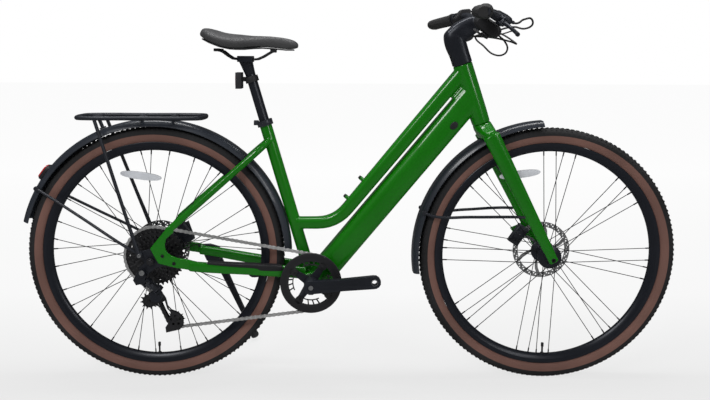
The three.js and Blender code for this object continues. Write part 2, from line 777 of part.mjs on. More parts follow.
// The wire stay of a fender: from the eyelets on both sides up and across the fender's back.
function fenderStay(axle, eye, eyeY, angle) {
  const back = fenderOuter + seatGap + stayWireRadius;
  const sideY = fenderHalfWidth + seatGap + stayWireRadius + 1;
  const radial = (radius, y) => axle.clone().add(at(radius * Math.cos(angle), y, radius * Math.sin(angle)));
  const half = [eye.clone().setY(eyeY), eye.clone().lerp(radial(back, 0), 0.1).setY(eyeY + seatGap),
    eye.clone().setY(eyeY).lerp(radial(back - 30, sideY + 4), 0.5),
    radial(back - 24, sideY + 2), radial(back - 8, sideY), radial(back - 1, sideY - 8)];
  const mirrored = half.map((place) => at(place.x, -place.y, place.z));
  return tubeAlong([...half, radial(back, 0), ...mirrored.reverse()], stayWireRadius, 5, 26);
}

// The front stay's ends stop on the back edges of the fork's blades.
function frontFenderStay() {
  const wire = fenderStay(frontAxle, at(forkEyeX, 0, forkEyeZ), forkEyeY, degrees(160.5));
  return cut(wire, ...sides.map((side) => forkBlade(side, seatGap)));
}

function rearFenderStay() {
  const eyeThickness = stayWireRadius * 2;
  const eyeStart = axleHalf + insertThickness + seatGap;
  const eyeRadius = 7;
  const wire = fenderStay(rearAxle, eyelet, eyeStart + eyeThickness / 2, degrees(149.5));
  const eyes = sides.map((side) =>
    crossRod(eyelet.x, eyelet.z, side * eyeStart, side * (eyeStart + eyeThickness), eyeRadius, 8));
  return join(wire, ...eyes);
}

// Rack

function rack() {
  const middleX = (rackRearX + rackFrontX) / 2;
  const cornerShare = 0.55;
  const corner = rackHalfWidth * cornerShare;
  const halfLoop = (endX, direction) => tubeAlong([
    at(middleX - direction * overrun, -rackHalfWidth, rackDeckZ), at(middleX + direction * overrun, -rackHalfWidth, rackDeckZ),
    at(endX - direction * corner, -rackHalfWidth, rackDeckZ),
    at(endX - direction * corner * 0.25, -rackHalfWidth + corner * 0.3, rackDeckZ),
    at(endX, -rackHalfWidth + corner, rackDeckZ), at(endX, rackHalfWidth - corner, rackDeckZ),
    at(endX - direction * corner * 0.25, rackHalfWidth - corner * 0.3, rackDeckZ),
    at(endX - direction * corner, rackHalfWidth, rackDeckZ), at(middleX + direction * overrun, rackHalfWidth, rackDeckZ),
    at(middleX - direction * overrun, rackHalfWidth, rackDeckZ),
  ], rackTubeRadius, 6, 11);
  const crossTube = (x) => crossRod(x, rackDeckZ, -rackHalfWidth, rackHalfWidth, rackLegRadius, 6);
  const strut = (angle) => {
    const out = at(Math.cos(angle), 0, Math.sin(angle));
    const foot = rearAxle.clone().addScaledVector(out, fenderOuter + seatGap);
    const top = rearAxle.clone().addScaledVector(out, (rackDeckZ - rearAxle.z) / out.z);
    return { x: top.x, solid: rod(foot, top, rackLegRadius, rackLegRadius, 6) };
  };
  const struts = [strut(degrees(112)), strut(degrees(82))];
  const legTopX = -148;
  const eyeInner = axleHalf + insertThickness + seatGap * 2 + stayWireRadius * 2;
  const eyeThickness = 5;
  const legs = sides.flatMap((side) => [
    rod(at(legTopX, side * rackHalfWidth, rackDeckZ), at(eyelet.x, side * (eyeInner + eyeThickness / 2), eyelet.z),
      rackLegRadius, rackLegRadius, 6),
    crossRod(eyelet.x, eyelet.z, side * eyeInner, side * (eyeInner + eyeThickness), 8, 8),
  ]);
  const cleared = legs.map((leg) => cut(leg, block(at(eyelet.x - 14, -eyeInner, 0), at(eyelet.x + 14, eyeInner, rearAxle.z * 1.4))));
  return join(halfLoop(rackFrontX, 1), halfLoop(rackRearX, -1), crossTube(middleX), ...struts.map(({ x }) => crossTube(x)),
    ...struts.map(({ solid }) => solid), ...cleared);
}

// Kickstand

const standMountOuter = 93;
const standPivot = at(standPivotX + 14, standMountOuter, standPivotZ - 6);
const standFoot = at(standFootX, standFootY, standFootZ);
// The leg swings back and up about a leaning axis, from the ground to along the chain stay.
const standStowed = at(-1, 0.05, 0.05);
const standAxis = standFoot.clone().sub(standPivot).normalize().cross(standStowed).normalize();

function standMount() {
  const low = at(standPivotX - 1, 58, standPivotZ - 20);
  const high = at(standPivotX + 30, standMountOuter - 8, standPivotZ + 34);
  const bossLength = 20;
  const boss = rod(standPivot.clone().addScaledVector(standAxis, -bossLength), standPivot, 14, 14, 12);
  return cut(join(block(low, high), boss), chainStay(1, seatGap));
}

function standLeg() {
  const hubThickness = 20;
  const hubRadius = 13;
  const hub = rod(standPivot.clone().addScaledVector(standAxis, seatGap),
    standPivot.clone().addScaledVector(standAxis, hubThickness), hubRadius, hubRadius, 12);
  const start = standPivot.clone().addScaledVector(standAxis, hubThickness * 0.55);
  const sleeveEnd = start.clone().lerp(standFoot, 0.55);
  const footTop = start.clone().lerp(standFoot, 0.93);
  return join(hub, rod(start, sleeveEnd, standLegRadius + 2, standLegRadius + 2, 10),
    rod(sleeveEnd, footTop, standLegRadius, standLegRadius, 10),
    rod(footTop, standFoot, standLegRadius + 3, standLegRadius + 5, 10));
}

// Fork and headset

const headBottom = headTubeLength;
const bladeTop = steerPoint(headBottom + crownHeight, 6);
const forkEndY = frontHubWidth / 2 + bladeTipWidth / 2;
const forkEyeX = 994;
const forkEyeY = 55;
const forkEyeZ = 467;

function forkBlade(side, grow = 0) {
  const topY = crownHalfWidth - bladeTopWidth / 2;
  const places = [[0, 0], [0.3, 0.3], [0.65, 0.7], [1.02, 1]];
  return taperTube(places.map(([along, outShare]) => {
    const place = bladeTop.clone().lerp(frontAxle, along).setY(side * THREE.MathUtils.lerp(topY, forkEndY, outShare));
    const width = THREE.MathUtils.lerp(bladeTopWidth, bladeTipWidth, outShare);
    const depth = THREE.MathUtils.lerp(bladeTopDepth, bladeTipDepth, along);
    return [place, width / 2 + grow, depth / 2 + grow];
  }), 2.6, 12);
}

function forkCrown() {
  const race = steerPoint(headBottom + runGap);
  return taperTube([
    [race, headTubeRadius - 1, headTubeRadius - 3],
    [steerPoint(headBottom + runGap + 3), headTubeRadius, headTubeRadius - 3],
    [steerPoint(headBottom + crownHeight * 0.3, 1), headTubeRadius * 1.35, headTubeRadius - 2],
    [steerPoint(headBottom + crownHeight * 0.7, 4), crownHalfWidth - 3, bladeTopDepth / 2],
    [bladeTop.clone().addScaledVector(steerDown, overrun), crownHalfWidth, bladeTopDepth / 2],
  ], 2.5, 14);
}

const caliperAngle = degrees(147);
const frontCaliperPlace = frontAxle.clone()
  .add(at(rotorRadius * Math.cos(caliperAngle), 0, rotorRadius * Math.sin(caliperAngle)));

function fork() {
  const steerer = rod(steerPoint(headBottom + crownHeight / 2), steerPoint(-55), steererRadius, steererRadius, 14);
  const tunnelHalf = fenderHalfWidth + 3;
  const tunnelSides = 96;
  const tunnel = disc(boreFor(fenderOuter, tunnelSides), -tunnelHalf, tunnelHalf, 0, tunnelSides)
    .translate(...frontAxle.toArray());
  const { x, z } = frontCaliperPlace;
  const mountLug = plate([[x - 18, z + 14], [x + 40, z + 40], [x + 48, z - 6], [x + 10, z - 20]], forkEndY - 5, forkEndY + 5);
  return cut(join(forkCrown(), steerer, ...sides.map((side) => forkBlade(side)), mountLug),
    tunnel, crossRod(frontAxle.x, frontAxle.z, -frontHubWidth, frontHubWidth, axleRadius + seatGap, 12));
}

function frontAxleBody() {
  const end = forkEndY + bladeTipWidth / 2 + 1;
  const headStart = end + seatGap;
  return join(crossRod(frontAxle.x, frontAxle.z, -headStart, headStart, axleRadius, 12),
    crossRod(frontAxle.x, frontAxle.z, -headStart - 4, -headStart, axleRadius + 3.5, 12));
}

// A two-piston brake caliper over its rotor, with its feet on the face given by mountY.
function caliper(place, angle, rotorY, mountY) {
  const low = at(-caliperDepth / 2, rotorY - caliperInnerReach, -caliperLength / 2);
  const high = at(caliperDepth / 2, rotorY + caliperOuterReach, caliperLength / 2);
  const slotHalf = rotorThickness / 2 + 1.6;
  const slot = block(at(-caliperDepth, rotorY - slotHalf, -caliperLength), at(overrun, rotorY + slotHalf, caliperLength));
  const piston = crossRod(0, 0, low.y - 1, low.y + 4, caliperDepth * 0.42, 12);
  const feet = [-1, 1].map((end) => crossRod(caliperDepth / 4, end * caliperLength * 0.36, high.y - 4, mountY - seatGap, 6.5, 8));
  const body = geometryOf(cut(join(block(low, high), piston, ...feet), slot));
  return body.rotateY(-angle).translate(place.x, 0, place.z);
}

// Stem, handlebar and grips

const barCentre = at(barCentreX, 0, barCentreZ);

function stem() {
  const halfWidth = headTubeRadius;
  const clampRadius = barClampRadius + 5;
  const stations = [
    [steerPoint(-runGap), halfWidth, headTubeRadius], [steerPoint(-28), halfWidth, headTubeRadius],
    [steerPoint(-62, 1), halfWidth - 1, headTubeRadius + 1], [steerPoint(-84, 16), halfWidth - 2, headTubeRadius],
    [at(841, 0, 973), halfWidth - 3, 22], [barCentre, halfWidth - 3, 18],
  ];
  const clamp = crossRod(barCentreX, barCentreZ, -halfWidth + 1, halfWidth - 1, clampRadius, 14);
  return cut(join(taperTube(stations, 2.8, 14), clamp),
    rod(steerPoint(overrun), steerPoint(-56), steererRadius + seatGap, steererRadius + seatGap, 14),
    crossRod(barCentreX, barCentreZ, -halfWidth * 2, halfWidth * 2, barClampRadius + seatGap * 2, 12));
}

const gripOuter = (side) => at(809, side * barHalfWidth, 990);
const gripInner = (side) => at(840, side * (barHalfWidth - gripLength), 1000);
// A place on the straight outer part of the bar, by its distance from the mid plane.
function barPlace(side, y) {
  const share = (barHalfWidth - y) / gripLength;
  return gripOuter(side).lerp(gripInner(side), share);
}

// The bar in one sweep: flat and thick in the clamp, then curved back to the straight ends.
function handlebar() {
  const straightY = 38;
  const bendEndY = 112;
  const pull = 26;
  const bendSteps = 4;
  const clampHalf = headTubeRadius + 3;
  const shoulderLength = 4;
  const half = (side) => {
    const start = barCentre.clone().setY(side * straightY);
    const bendEnd = barPlace(side, bendEndY);
    const outward = gripInner(side).sub(gripOuter(side)).normalize();
    const bend = new THREE.CubicBezierCurve3(start, start.clone().add(at(0, side * pull, 0)),
      bendEnd.clone().addScaledVector(outward, pull), bendEnd);
    return [[barCentre.clone().setY(side * clampHalf), barClampRadius],
      [barCentre.clone().setY(side * (clampHalf + shoulderLength)), barRadius],
      ...bend.getPoints(bendSteps).slice(1).map((place) => [place, barRadius]),
      [gripOuter(side).lerp(gripInner(side), 0.02), barRadius]];
  };
  const stations = [...half(-1).reverse(), ...half(1)];
  return taperTube(stations.map(([place, radius]) => [place, radius, radius]), 2, 12, xAxis);
}

// The rubber grip widens into a palm rest towards its closed end.
function grip(side) {
  const outer = gripOuter(side);
  const inner = gripInner(side);
  const forward = at(1, 0, 0);
  const stations = [[0, 19, 19, 0], [0.06, 19, 19, 0], [0.08, gripRadius, gripRadius, 0], 
    [0.78, gripRadius + 8, gripRadius - 1, 8], [0.95, gripRadius + 6, gripRadius - 1, 7], [1.02, gripRadius, gripRadius - 4, 3]];
  const body = taperTube(stations.map(([share, a, b, back]) =>
    [inner.clone().lerp(outer, share).addScaledVector(forward, -back), a, b]), 2.2, 12, forward);
  const bore = barRadius + seatGap + 0.5;
  return cut(body, rod(inner.clone().lerp(outer, -0.1), inner.clone().lerp(outer, 0.992), bore, bore, 10));
}

// Controls on the bar

const leverSlope = degrees(33);
const leverForward = at(Math.cos(leverSlope), 0, -Math.sin(leverSlope));
const leverUp = at(Math.sin(leverSlope), 0, Math.cos(leverSlope));

// A place near the bar's point at distance y: forward and up in the lever's own tilted plane.
const controlPlace = (side, y, forward, up) =>
  barPlace(side, y).addScaledVector(leverForward, forward).addScaledVector(leverUp, up);

function barClamp(side, fromY, toY, radius) {
  return rod(barPlace(side, fromY), barPlace(side, toY), radius, radius, 8);
}

const barHole = (side) => rod(barPlace(side, 100), barPlace(side, 190), barRadius + seatGap + 0.4, barRadius + seatGap + 0.4, 10);
const leverPivotY = 178;
const leverPivot = (side) => controlPlace(side, leverPivotY, 38, -2);

// The brake body along its length: [place, half width, half height], from the bar to the hose's mouth.
const bodyThickness = 15;
const bodyPlaces = (side) => [
  [controlPlace(side, 162, 8, 7), 11, bodyThickness / 2], [controlPlace(side, 160, 28, 5), 10, bodyThickness / 2],
  [controlPlace(side, 156, 56, 2), 9, bodyThickness / 2 - 1],
];
const hoseStraight = 8;

function brakeBody(side) {
  const reservoir = taperTube(bodyPlaces(side), 4, 8);
  const earUp = 6;
  const ears = [-1, 1].map((end) => rod(
    leverPivot(side).addScaledVector(leverUp, end * earUp), leverPivot(side).addScaledVector(leverUp, end * (earUp + 4)), 7, 7, 8));
  const earArms = [-1, 1].map((end) => rod(
    leverPivot(side).addScaledVector(leverUp, end * (earUp + 2.5)),
    controlPlace(side, 163, 26, end * 8.5 - 2), 2.2, 2.2, 4));
  const pin = rod(leverPivot(side).addScaledVector(leverUp, -earUp - 2), leverPivot(side).addScaledVector(leverUp, earUp + 2), 2.2, 2.2, 6);
  return cut(join(barClamp(side, 160, 171, barRadius + 6), reservoir, ...ears, ...earArms, pin), barHole(side));
}

function brakeLever(side) {
  const pivot = leverPivot(side);
  const blade = [[178, 38, -2], [194, 52, -3], [218, 62, -6], [250, 64, -8], [292, 60, -9]]
    .map(([y, forward, up]) => controlPlace(side, y, forward, up));
  const body = taperTube(blade.map((place, i) => [place, 4.5, i === 0 ? 4 : 5]), 3, 8, leverForward);
  const hub = rod(pivot.clone().addScaledVector(leverUp, -5.4), pivot.clone().addScaledVector(leverUp, 5.4), 6, 6, 8);
  return cut(join(body, hub), rod(pivot.clone().addScaledVector(leverUp, -20), pivot.clone().addScaledVector(leverUp, 20), 2.8, 2.8, 6));
}

// The gear shifter under the right side of the bar.
function shifter() {
  const side = -1;
  const pod = taperTube([[118, 22, 13], [124, 31, 18], [142, 30, 18], [148, 24, 13]].map(([y, a, b]) =>
    [controlPlace(side, y, 2, -31), a, b]), 2.8, 10, leverForward);
  const neck = rod(controlPlace(side, 134, 0, -20), controlPlace(side, 134, 0, 0), 8, 8, 6);
  return cut(join(pod, neck, barClamp(side, 128, 141, barRadius + 5)), barHole(side));
}

const shiftPivot = controlPlace(-1, 134, 8, -50.6);

function shiftLever() {
  const tip = controlPlace(-1, 168, -18, -54);
  const low = shiftPivot.clone().addScaledVector(leverUp, -7);
  return join(rod(low, shiftPivot, 11, 11, 10),
    taperTube([[low.clone().addScaledVector(leverUp, 3), 9, 2.5], [tip.clone().lerp(low, 0.4), 7, 2.5], [tip, 10, 3]], 2.5, 8, leverForward));
}

const unitInnerY = 116;
const unitOuterY = 150;

// The drive's control unit on the left side of the bar.
function controlUnit() {
  const outline = [[834, 1002], [855, 1027], [877, 1029], [884, 1021], [862, 997], [838, 990]];
  return cut(join(plate(outline, unitInnerY, unitOuterY), barClamp(1, unitInnerY + 4, unitOuterY - 4, barRadius + 5)), barHole(1));
}

// The hoses and the shift housing, each from its control to the stem's underside.
const stemEntry = (y) => at(863, y, 944);

// The first two places of a brake hose, straight out of the end of its brake body.
function hoseStart(side) {
  const mouth = bodyPlaces(side).at(-1)[0];
  const outward = mouth.clone().sub(bodyPlaces(side).at(-2)[0]).normalize();
  return [mouth.clone().addScaledVector(outward, seatGap), mouth.clone().addScaledVector(outward, hoseStraight)];
}

const hoseRuns = {
  brake_hose_right: [...hoseStart(-1), at(950, -128, 984), at(984, -96, 990), at(976, -58, 976), at(930, -24, 960), stemEntry(-15)],
  shift_housing: [controlPlace(-1, 116, 8, -32), at(918, -104, 938), at(930, -84, 912), at(912, -62, 896), at(884, -40, 908), at(868, -16, 930), stemEntry(-5)],
  brake_hose_left: [...hoseStart(1), at(962, 122, 958), at(996, 88, 930), at(968, 48, 934), at(910, 22, 944), stemEntry(15)],
  control_cable: [at(873, unitInnerY - seatGap, 1015), at(873, unitInnerY - hoseStraight, 1015), at(926, 92, 992), at(978, 66, 968), at(962, 36, 960), at(906, 12, 948), stemEntry(5)],
};
const hoseRadii = { brake_hose_right: 2.5, shift_housing: 2.3, brake_hose_left: 2.5, control_cable: 1.9 };

function hose(name) {
  return tubeAlong(hoseRuns[name], hoseRadii[name], 5, 17);
}

// Seat post and saddle

const postHead = seatPoint((postHeadZ - bracketZ) / seatUp.z);

function railPlaces(side) {
  const { x, z } = postHead;
  return [at(x - 74, side * 32, z + 24.5), at(x - 56, side * 29, z + 18), at(x - 38, side * railHalfGap, z + 3),
    at(x - 24, side * railHalfGap, z), at(x + 36, side * railHalfGap, z), at(x + 56, side * (railHalfGap - 3), z + 11),
    at(x + 76, side * (railHalfGap - 8), z + 22)];
}
const railTube = (side, radius) => tubeAlong(railPlaces(side), radius, 5, 10);

function seatPost() {
  const bottom = postHead.clone().addScaledVector(seatUp, -postLength);
  const clampHalfLength = 20;
  const clampHalfWidth = railHalfGap + 8;
  const clampHalfHeight = 8;
  const { x, z } = postHead;
  const head = block(at(x - clampHalfLength, -clampHalfWidth, z - clampHalfHeight), at(x + clampHalfLength, clampHalfWidth, z + clampHalfHeight));
  const yoke = taperTube([[postHead.clone().addScaledVector(seatUp, -42), seatPostRadius, seatPostRadius],
    [at(x, 0, z - clampHalfHeight / 2), clampHalfWidth - 8, clampHalfLength - 2]], 2.4, 14);
  return cut(join(rod(bottom, postHead, seatPostRadius, seatPostRadius, 14), yoke, head),
    railTube(-1, railRadius + seatGap), railTube(1, railRadius + seatGap));
}

// The saddle along its length: [share, half width share, top drop, underside drop] from its rear.
const saddleStations = [
  [0, 0.3, 12, 24], [0.04, 0.66, 2, 30], [0.12, 0.93, 4, 40], [0.22, 1, 13, 50], [0.32, 0.97, 18, 56], [0.42, 0.82, 20, 56],
  [0.52, 0.6, 20.5, 54], [0.62, 0.42, 20.5, 53], [0.74, 0.32, 21, 55], [0.86, 0.27, 25, 58], [0.95, 0.23, 33, 58], [1, 0.12, 42, 54],
];
const padSides = 18;

function saddlePad() {
  return loft(saddleStations.map(([share, widthShare, topDrop, underDrop]) => {
    const x = saddleRearX + share * saddleLength;
    const half = widthShare * saddleWidth / 2;
    const under = saddleTopZ - underDrop;
    const height = underDrop - topDrop;
    const places = [];
    for (let i = 0; i < padSides; i += 1) {
      const angle = ((i + 1 / 2) / padSides) * Math.PI * 2;
      const across = Math.sign(Math.cos(angle)) * Math.abs(Math.cos(angle)) ** 0.75;
      const rise = Math.sin(angle) > 0 ? Math.sin(angle) ** 0.6 : 0;
      const channelDepth = 5 * Math.max(0, Math.sin(Math.PI * share));
      const channel = rise > 0 && Math.abs(across * half) < 15 ? channelDepth : 0;
      const shoulder = 0.42;
      const base = Math.sin(angle) > 0 ? shoulder * (1 - rise) : 0;
      places.push(at(x, half * across * (Math.sin(angle) > 0 ? 1 : 0.9), under + height * (rise + base * 0.3) - channel));
    }
    return places;
  }));
}

// The moulded base under the pad, with the two steel rails held in its sockets.
function saddleShell() {
  const baseThickness = 3.5;
  const inset = 0.84;
  const base = loft(saddleStations.slice(1, -1).map(([share, widthShare, , underDrop]) => {
    const x = saddleRearX + share * saddleLength;
    const half = widthShare * inset * saddleWidth / 2;
    const top = saddleTopZ - underDrop - seatGap;
    return [at(x, -half, top - baseThickness), at(x, half, top - baseThickness), at(x, half, top), at(x, -half, top)];
  }));
  const sockets = [-1, 1].flatMap((side) => {
    const rail = railPlaces(side);
    const [rear, front] = [rail[0], rail.at(-1)];
    return [block(at(rear.x - 6, rear.y - 6, rear.z - 5), at(rear.x + 10, rear.y + 6, rear.z + 3)),
      block(at(front.x - 9, front.y - 6, front.z - 5), at(front.x + 6, front.y + 6, front.z + 4))];
  });
  return join(base, ...sockets, railTube(-1, railRadius), railTube(1, railRadius));
}

function postReflector() {
  const ringZ = 830;
  const middle = seatPoint((ringZ - bracketZ) / seatUp.z);
  const ringRadius = seatPostRadius + 4.5;
  const ringHalf = 8;
  const lens = at(231, 0, 826.5);
  const lensHalfHeight = 21.5;
  const lensHalfWidth = 24;
  const band = rod(middle.clone().addScaledVector(seatUp, -ringHalf), middle.clone().addScaledVector(seatUp, ringHalf), ringRadius, ringRadius, 14);
  const housing = block(at(lens.x - 9, -lensHalfWidth, lens.z - lensHalfHeight), at(lens.x + 7, lensHalfWidth, lens.z + lensHalfHeight));
  const arm = block(at(lens.x, -7, ringZ - 6), at(middle.x - seatPostRadius, 7, ringZ + 6));
  const hole = rod(middle.clone().addScaledVector(seatUp, -ringHalf * 4), middle.clone().addScaledVector(seatUp, ringHalf * 4),
    seatPostRadius + seatGap, seatPostRadius + seatGap, 14);
  return cut(join(band, housing, arm), hole);
}

// Cranks and chainring

const pitchRadius = (teeth) => chainPitch / 2 / Math.sin(Math.PI / teeth);
const crankTurn = (angle, radius, y) => at(radius * Math.cos(angle), y, radius * Math.sin(angle));

function crankArm(side) {
  const angle = side < 0 ? crankAngle : crankAngle + Math.PI;
  const outer = side * crankOuterY;
  const inner = side * (crankOuterY - crankThickness);
  const bossRadius = 19;
  const end = crankTurn(angle, crankLength, 0);
  const half = crankDepth / 2;
  const along = new THREE.Vector2(Math.cos(angle), Math.sin(angle));
  const across = new THREE.Vector2(-along.y, along.x);
  const corner = (run, rise) => {
    const place = along.clone().multiplyScalar(run).addScaledVector(across, rise);
    return [place.x, place.y];
  };
  const waist = half - 1.5;
  const arm = plate([corner(0, -half), corner(crankLength * 0.5, -waist), corner(crankLength, -half), corner(crankLength, half),
    corner(crankLength * 0.5, waist), corner(0, half)], inner, outer);
  const tip = crossRod(end.x, end.z, inner, outer, half, 12);
  const bossInner = side * (bracketShellWidth / 2 + 4);
  const boss = crossRod(0, 0, bossInner, outer, bossRadius, 12);
  const spindleHole = crossRod(0, 0, side * 20, side * (spindleEnd - spindleTip - 0.4), spindleRadius + seatGap, 10);
  const boltHole = crossRod(0, 0, side * 20, side * crankOuterY * 1.2, boltRadius + seatGap, 10);
  return cut(join(arm, tip, boss), spindleHole, boltHole, crossRod(end.x, end.z, inner * 0.8, outer * 1.2, 7, 10));
}
const boltRadius = 6.6;
const spindleTip = 10;
const spindleEnd = crankOuterY - 2;

function crankSpindle() {
  const shoulder = spindleEnd - spindleTip - 0.8;
  return join(crossRod(0, 0, -shoulder, shoulder, spindleRadius, 10), crossRod(0, 0, -spindleEnd, spindleEnd, boltRadius, 10));
}

const spiderOuterY = chainringY - toothThickness / 2 - seatGap;
const spiderThickness = 4.4;
const spiderPhase = degrees(56);
const spiderAngles = Array.from({ length: spiderArms }, (_, i) => spiderPhase + (i / spiderArms) * Math.PI * 2);

// The spider carries the chainring on four arms outside it.
function spider() {
  const rootWidth = 24;
  const tipWidth = 15;
  const arms = spiderAngles.flatMap((angle) => {
    const along = new THREE.Vector2(Math.cos(angle), Math.sin(angle));
    const across = new THREE.Vector2(-along.y, along.x);
    const corner = (run, rise) => {
      const place = along.clone().multiplyScalar(run).addScaledVector(across, rise);
      return [place.x, place.y];
    };
    return [plate([corner(8, -rootWidth / 2), corner(boltCircleRadius, -tipWidth / 2), corner(boltCircleRadius, tipWidth / 2),
      corner(8, rootWidth / 2)], spiderOuterY, spiderOuterY - spiderThickness),
    crossRod(along.x * boltCircleRadius, along.y * boltCircleRadius, spiderOuterY, spiderOuterY - spiderThickness, tipWidth / 2, 8)];
  });
  return join(...arms);
}

function crankRight() {
  return join(crankArm(-1), cut(spider(), crossRod(0, 0, 0, -crankOuterY, spindleRadius + seatGap, 10)));
}

// A toothed wheel's outline, turned so that a gap between teeth lies at the phase angle.
function sprocketOutline(teeth, phase, fine) {
  const pitch = pitchRadius(teeth);
  const root = pitch - rollerRadius - 0.55;
  const rootHalf = 2.9 / pitch;
  const tip = pitch + 3.2;
  const places = [];
  for (let i = 0; i < teeth; i += 1) {
    const gap = phase + (i / teeth) * Math.PI * 2;
    const tooth = gap + Math.PI / teeth;
    const corners = fine
      ? [[gap - rootHalf, root], [gap + rootHalf, root], [tooth, tip]]
      : [[gap, root], [tooth, tip]];
    corners.forEach(([angle, radius]) => places.push([radius * Math.cos(angle), radius * Math.sin(angle)]));
  }
  return places;
}

function sprocket(teeth, phase, y, fine, thickness = toothThickness) {
  return plate(sprocketOutline(teeth, phase, fine), y - thickness / 2, y + thickness / 2);
}

function chainring(phase) {
  const innerRadius = 62;
  const tabRadius = 8;
  const half = toothThickness / 2;
  const tabs = spiderAngles.map((angle) => {
    const place = crankTurn(angle, boltCircleRadius, 0);
    const foot = crankTurn(angle, innerRadius + 3, 0);
    return join(crossRod(place.x, place.z, chainringY - half, chainringY + half, tabRadius, 8),
      crossRod(foot.x, foot.z, chainringY - half, chainringY + half, tabRadius + 3, 8));
  });
  const body = cut(sprocket(chainringTeeth, phase, chainringY, true),
    crossRod(0, 0, chainringY - 9, chainringY + 9, innerRadius, 18));
  const clipped = tabs.map((tab) => common(tab, crossRod(0, 0, chainringY - half, chainringY + half, innerRadius + 5, 18)));
  return join(body, ...clipped);
}

// The guard ring stands outside the chain and is bolted to the spider's ends.
function chainGuard() {
  const y = spiderOuterY - spiderThickness - seatGap;
  const tabs = spiderAngles.map((angle) => {
    const place = crankTurn(angle, boltCircleRadius + 4, 0);
    return crossRod(place.x, place.z, y, y - guardThickness, 11, 8);
  });
  return join(disc(guardRadius, y - guardThickness, y, guardInnerRadius, 24), ...tabs);
}

function cassette(phase) {
  const bodyRadius = 17;
  const lockringRadius = 15;
  const bore = axleRadius + seatGap + 0.3;
  const innerEnd = largestCogY + toothThickness / 2 + 0.8;
  const outerEnd = largestCogY - cogPitch * (cogTeeth.length - 1) - toothThickness / 2;
  const cogs = cogTeeth.map((teeth, i) => {
    const solid = sprocket(teeth, i === 0 ? phase : 0, largestCogY - cogPitch * i, i === 0);
    return asSolid(solid);
  });
  const carriers = [0, 1].map((i) => {
    const y = largestCogY - cogPitch * i;
    return asSolid(crossRod(0, 0, y, y - cogPitch, pitchRadius(cogTeeth[i + 1]) * 0.72, 8));
  });
  const body = asSolid(crossRod(0, 0, innerEnd, outerEnd, bodyRadius, 8));
  const lockring = asSolid(crossRod(0, 0, outerEnd + 0.5, outerEnd - 1.6, lockringRadius, 10));
  return cut(wasm.Manifold.union([body, lockring, ...carriers, ...cogs]), crossRod(0, 0, 0, -axleHalf * 2, bore, 8));
}

// The chain's path

// A toothed wheel on the path: its middle, pitch radius, the way the chain turns round it
// (1 against the clock seen from the right) and its place across the bike.
const wheelOnPath = (x, z, teeth, way, y) => ({ x, z, radius: pitchRadius(teeth), teeth, way, y });

// The straight run from one wheel to the next, as the angle of its direction and its ends.
function straightRun(from, to) {
  const [dx, dz] = [to.x - from.x, to.z - from.z];
  const span = Math.hypot(dx, dz);
  const offset = to.radius * to.way - from.radius * from.way;
  const heading = Math.atan2(dz, dx) + Math.asin(-offset / span);
  const normal = [Math.sin(heading), -Math.cos(heading)];
  const end = (wheel) => [wheel.x + wheel.radius * wheel.way * normal[0], wheel.z + wheel.radius * wheel.way * normal[1]];
  return { heading, start: end(from), end: end(to), length: Math.sqrt(span ** 2 - offset ** 2) };
}

const turnBetween = (from, to, way) => {
  const turn = (way * (to - from)) % (Math.PI * 2);
  return turn < 0 ? turn + Math.PI * 2 : turn;
};

// Close to a wheel the chain runs in the wheel's own plane for this length.
const straightHold = chainPitch * 2;

// The closed path as pieces: a straight run, then the arc round the wheel it leads to.
function chainPath(wheels) {
  const runs = wheels.map((wheel, i) => straightRun(wheel, wheels[(i + 1) % wheels.length]));
  const pieces = [];
  runs.forEach((run, i) => {
    const wheel = wheels[i];
    const next = wheels[(i + 1) % wheels.length];
    const nextRun = runs[(i + 1) % runs.length];
    pieces.push({ length: run.length, place: (s) => {
      const share = s / run.length;
      const slant = THREE.MathUtils.clamp((s - straightHold) / (run.length - straightHold * 2), 0, 1);
      return at(THREE.MathUtils.lerp(run.start[0], run.end[0], share), THREE.MathUtils.lerp(wheel.y, next.y, slant),
        THREE.MathUtils.lerp(run.start[1], run.end[1], share));
    } });
    const arrival = run.heading - next.way * Math.PI / 2;
    const swept = turnBetween(run.heading, nextRun.heading, next.way);
    pieces.push({ length: swept * next.radius, wheel: next, place: (s) => {
      const angle = arrival + next.way * (s / next.radius);
      return at(next.x + next.radius * Math.cos(angle), next.y, next.z + next.radius * Math.sin(angle));
    } });
  });
  const total = pieces.reduce((sum, { length }) => sum + length, 0);
  const place = (s) => {
    let rest = ((s % total) + total) % total;
    for (const part of pieces) {
      if (rest <= part.length) return { point: part.place(rest), wheel: part.wheel };
      rest -= part.length;
    }
    return { point: pieces[0].place(0), wheel: undefined };
  };
  return { total, place };
}

// The pins lie one pitch apart, measured straight, as they do on teeth.
function chainPins(path, links) {
  const flat = (a, b) => Math.hypot(a.x - b.x, a.z - b.z);
  const pins = [];
  let s = 0;
  for (let i = 0; i <= links; i += 1) {
    const here = path.place(s);
    pins.push({ ...here, s });
    s = bisect(s + chainPitch / 2, s + chainPitch * 1.1, (next) => flat(path.place(next).point, here.point) < chainPitch);
  }
  return pins;
}

function wheelsFor(lean) {
  return [
    wheelOnPath(bracketX, bracketZ, chainringTeeth, 1, chainringY),
    wheelOnPath(rearAxle.x, rearAxle.z, cogTeeth[0], 1, largestCogY),
    wheelOnPath(guidePulleyX, guidePulleyZ, pulleyTeeth, -1, largestCogY),
    wheelOnPath(guidePulleyX + pulleyDistance * Math.cos(lean), guidePulleyZ + pulleyDistance * Math.sin(lean),
      pulleyTeeth, 1, largestCogY),
  ];
}

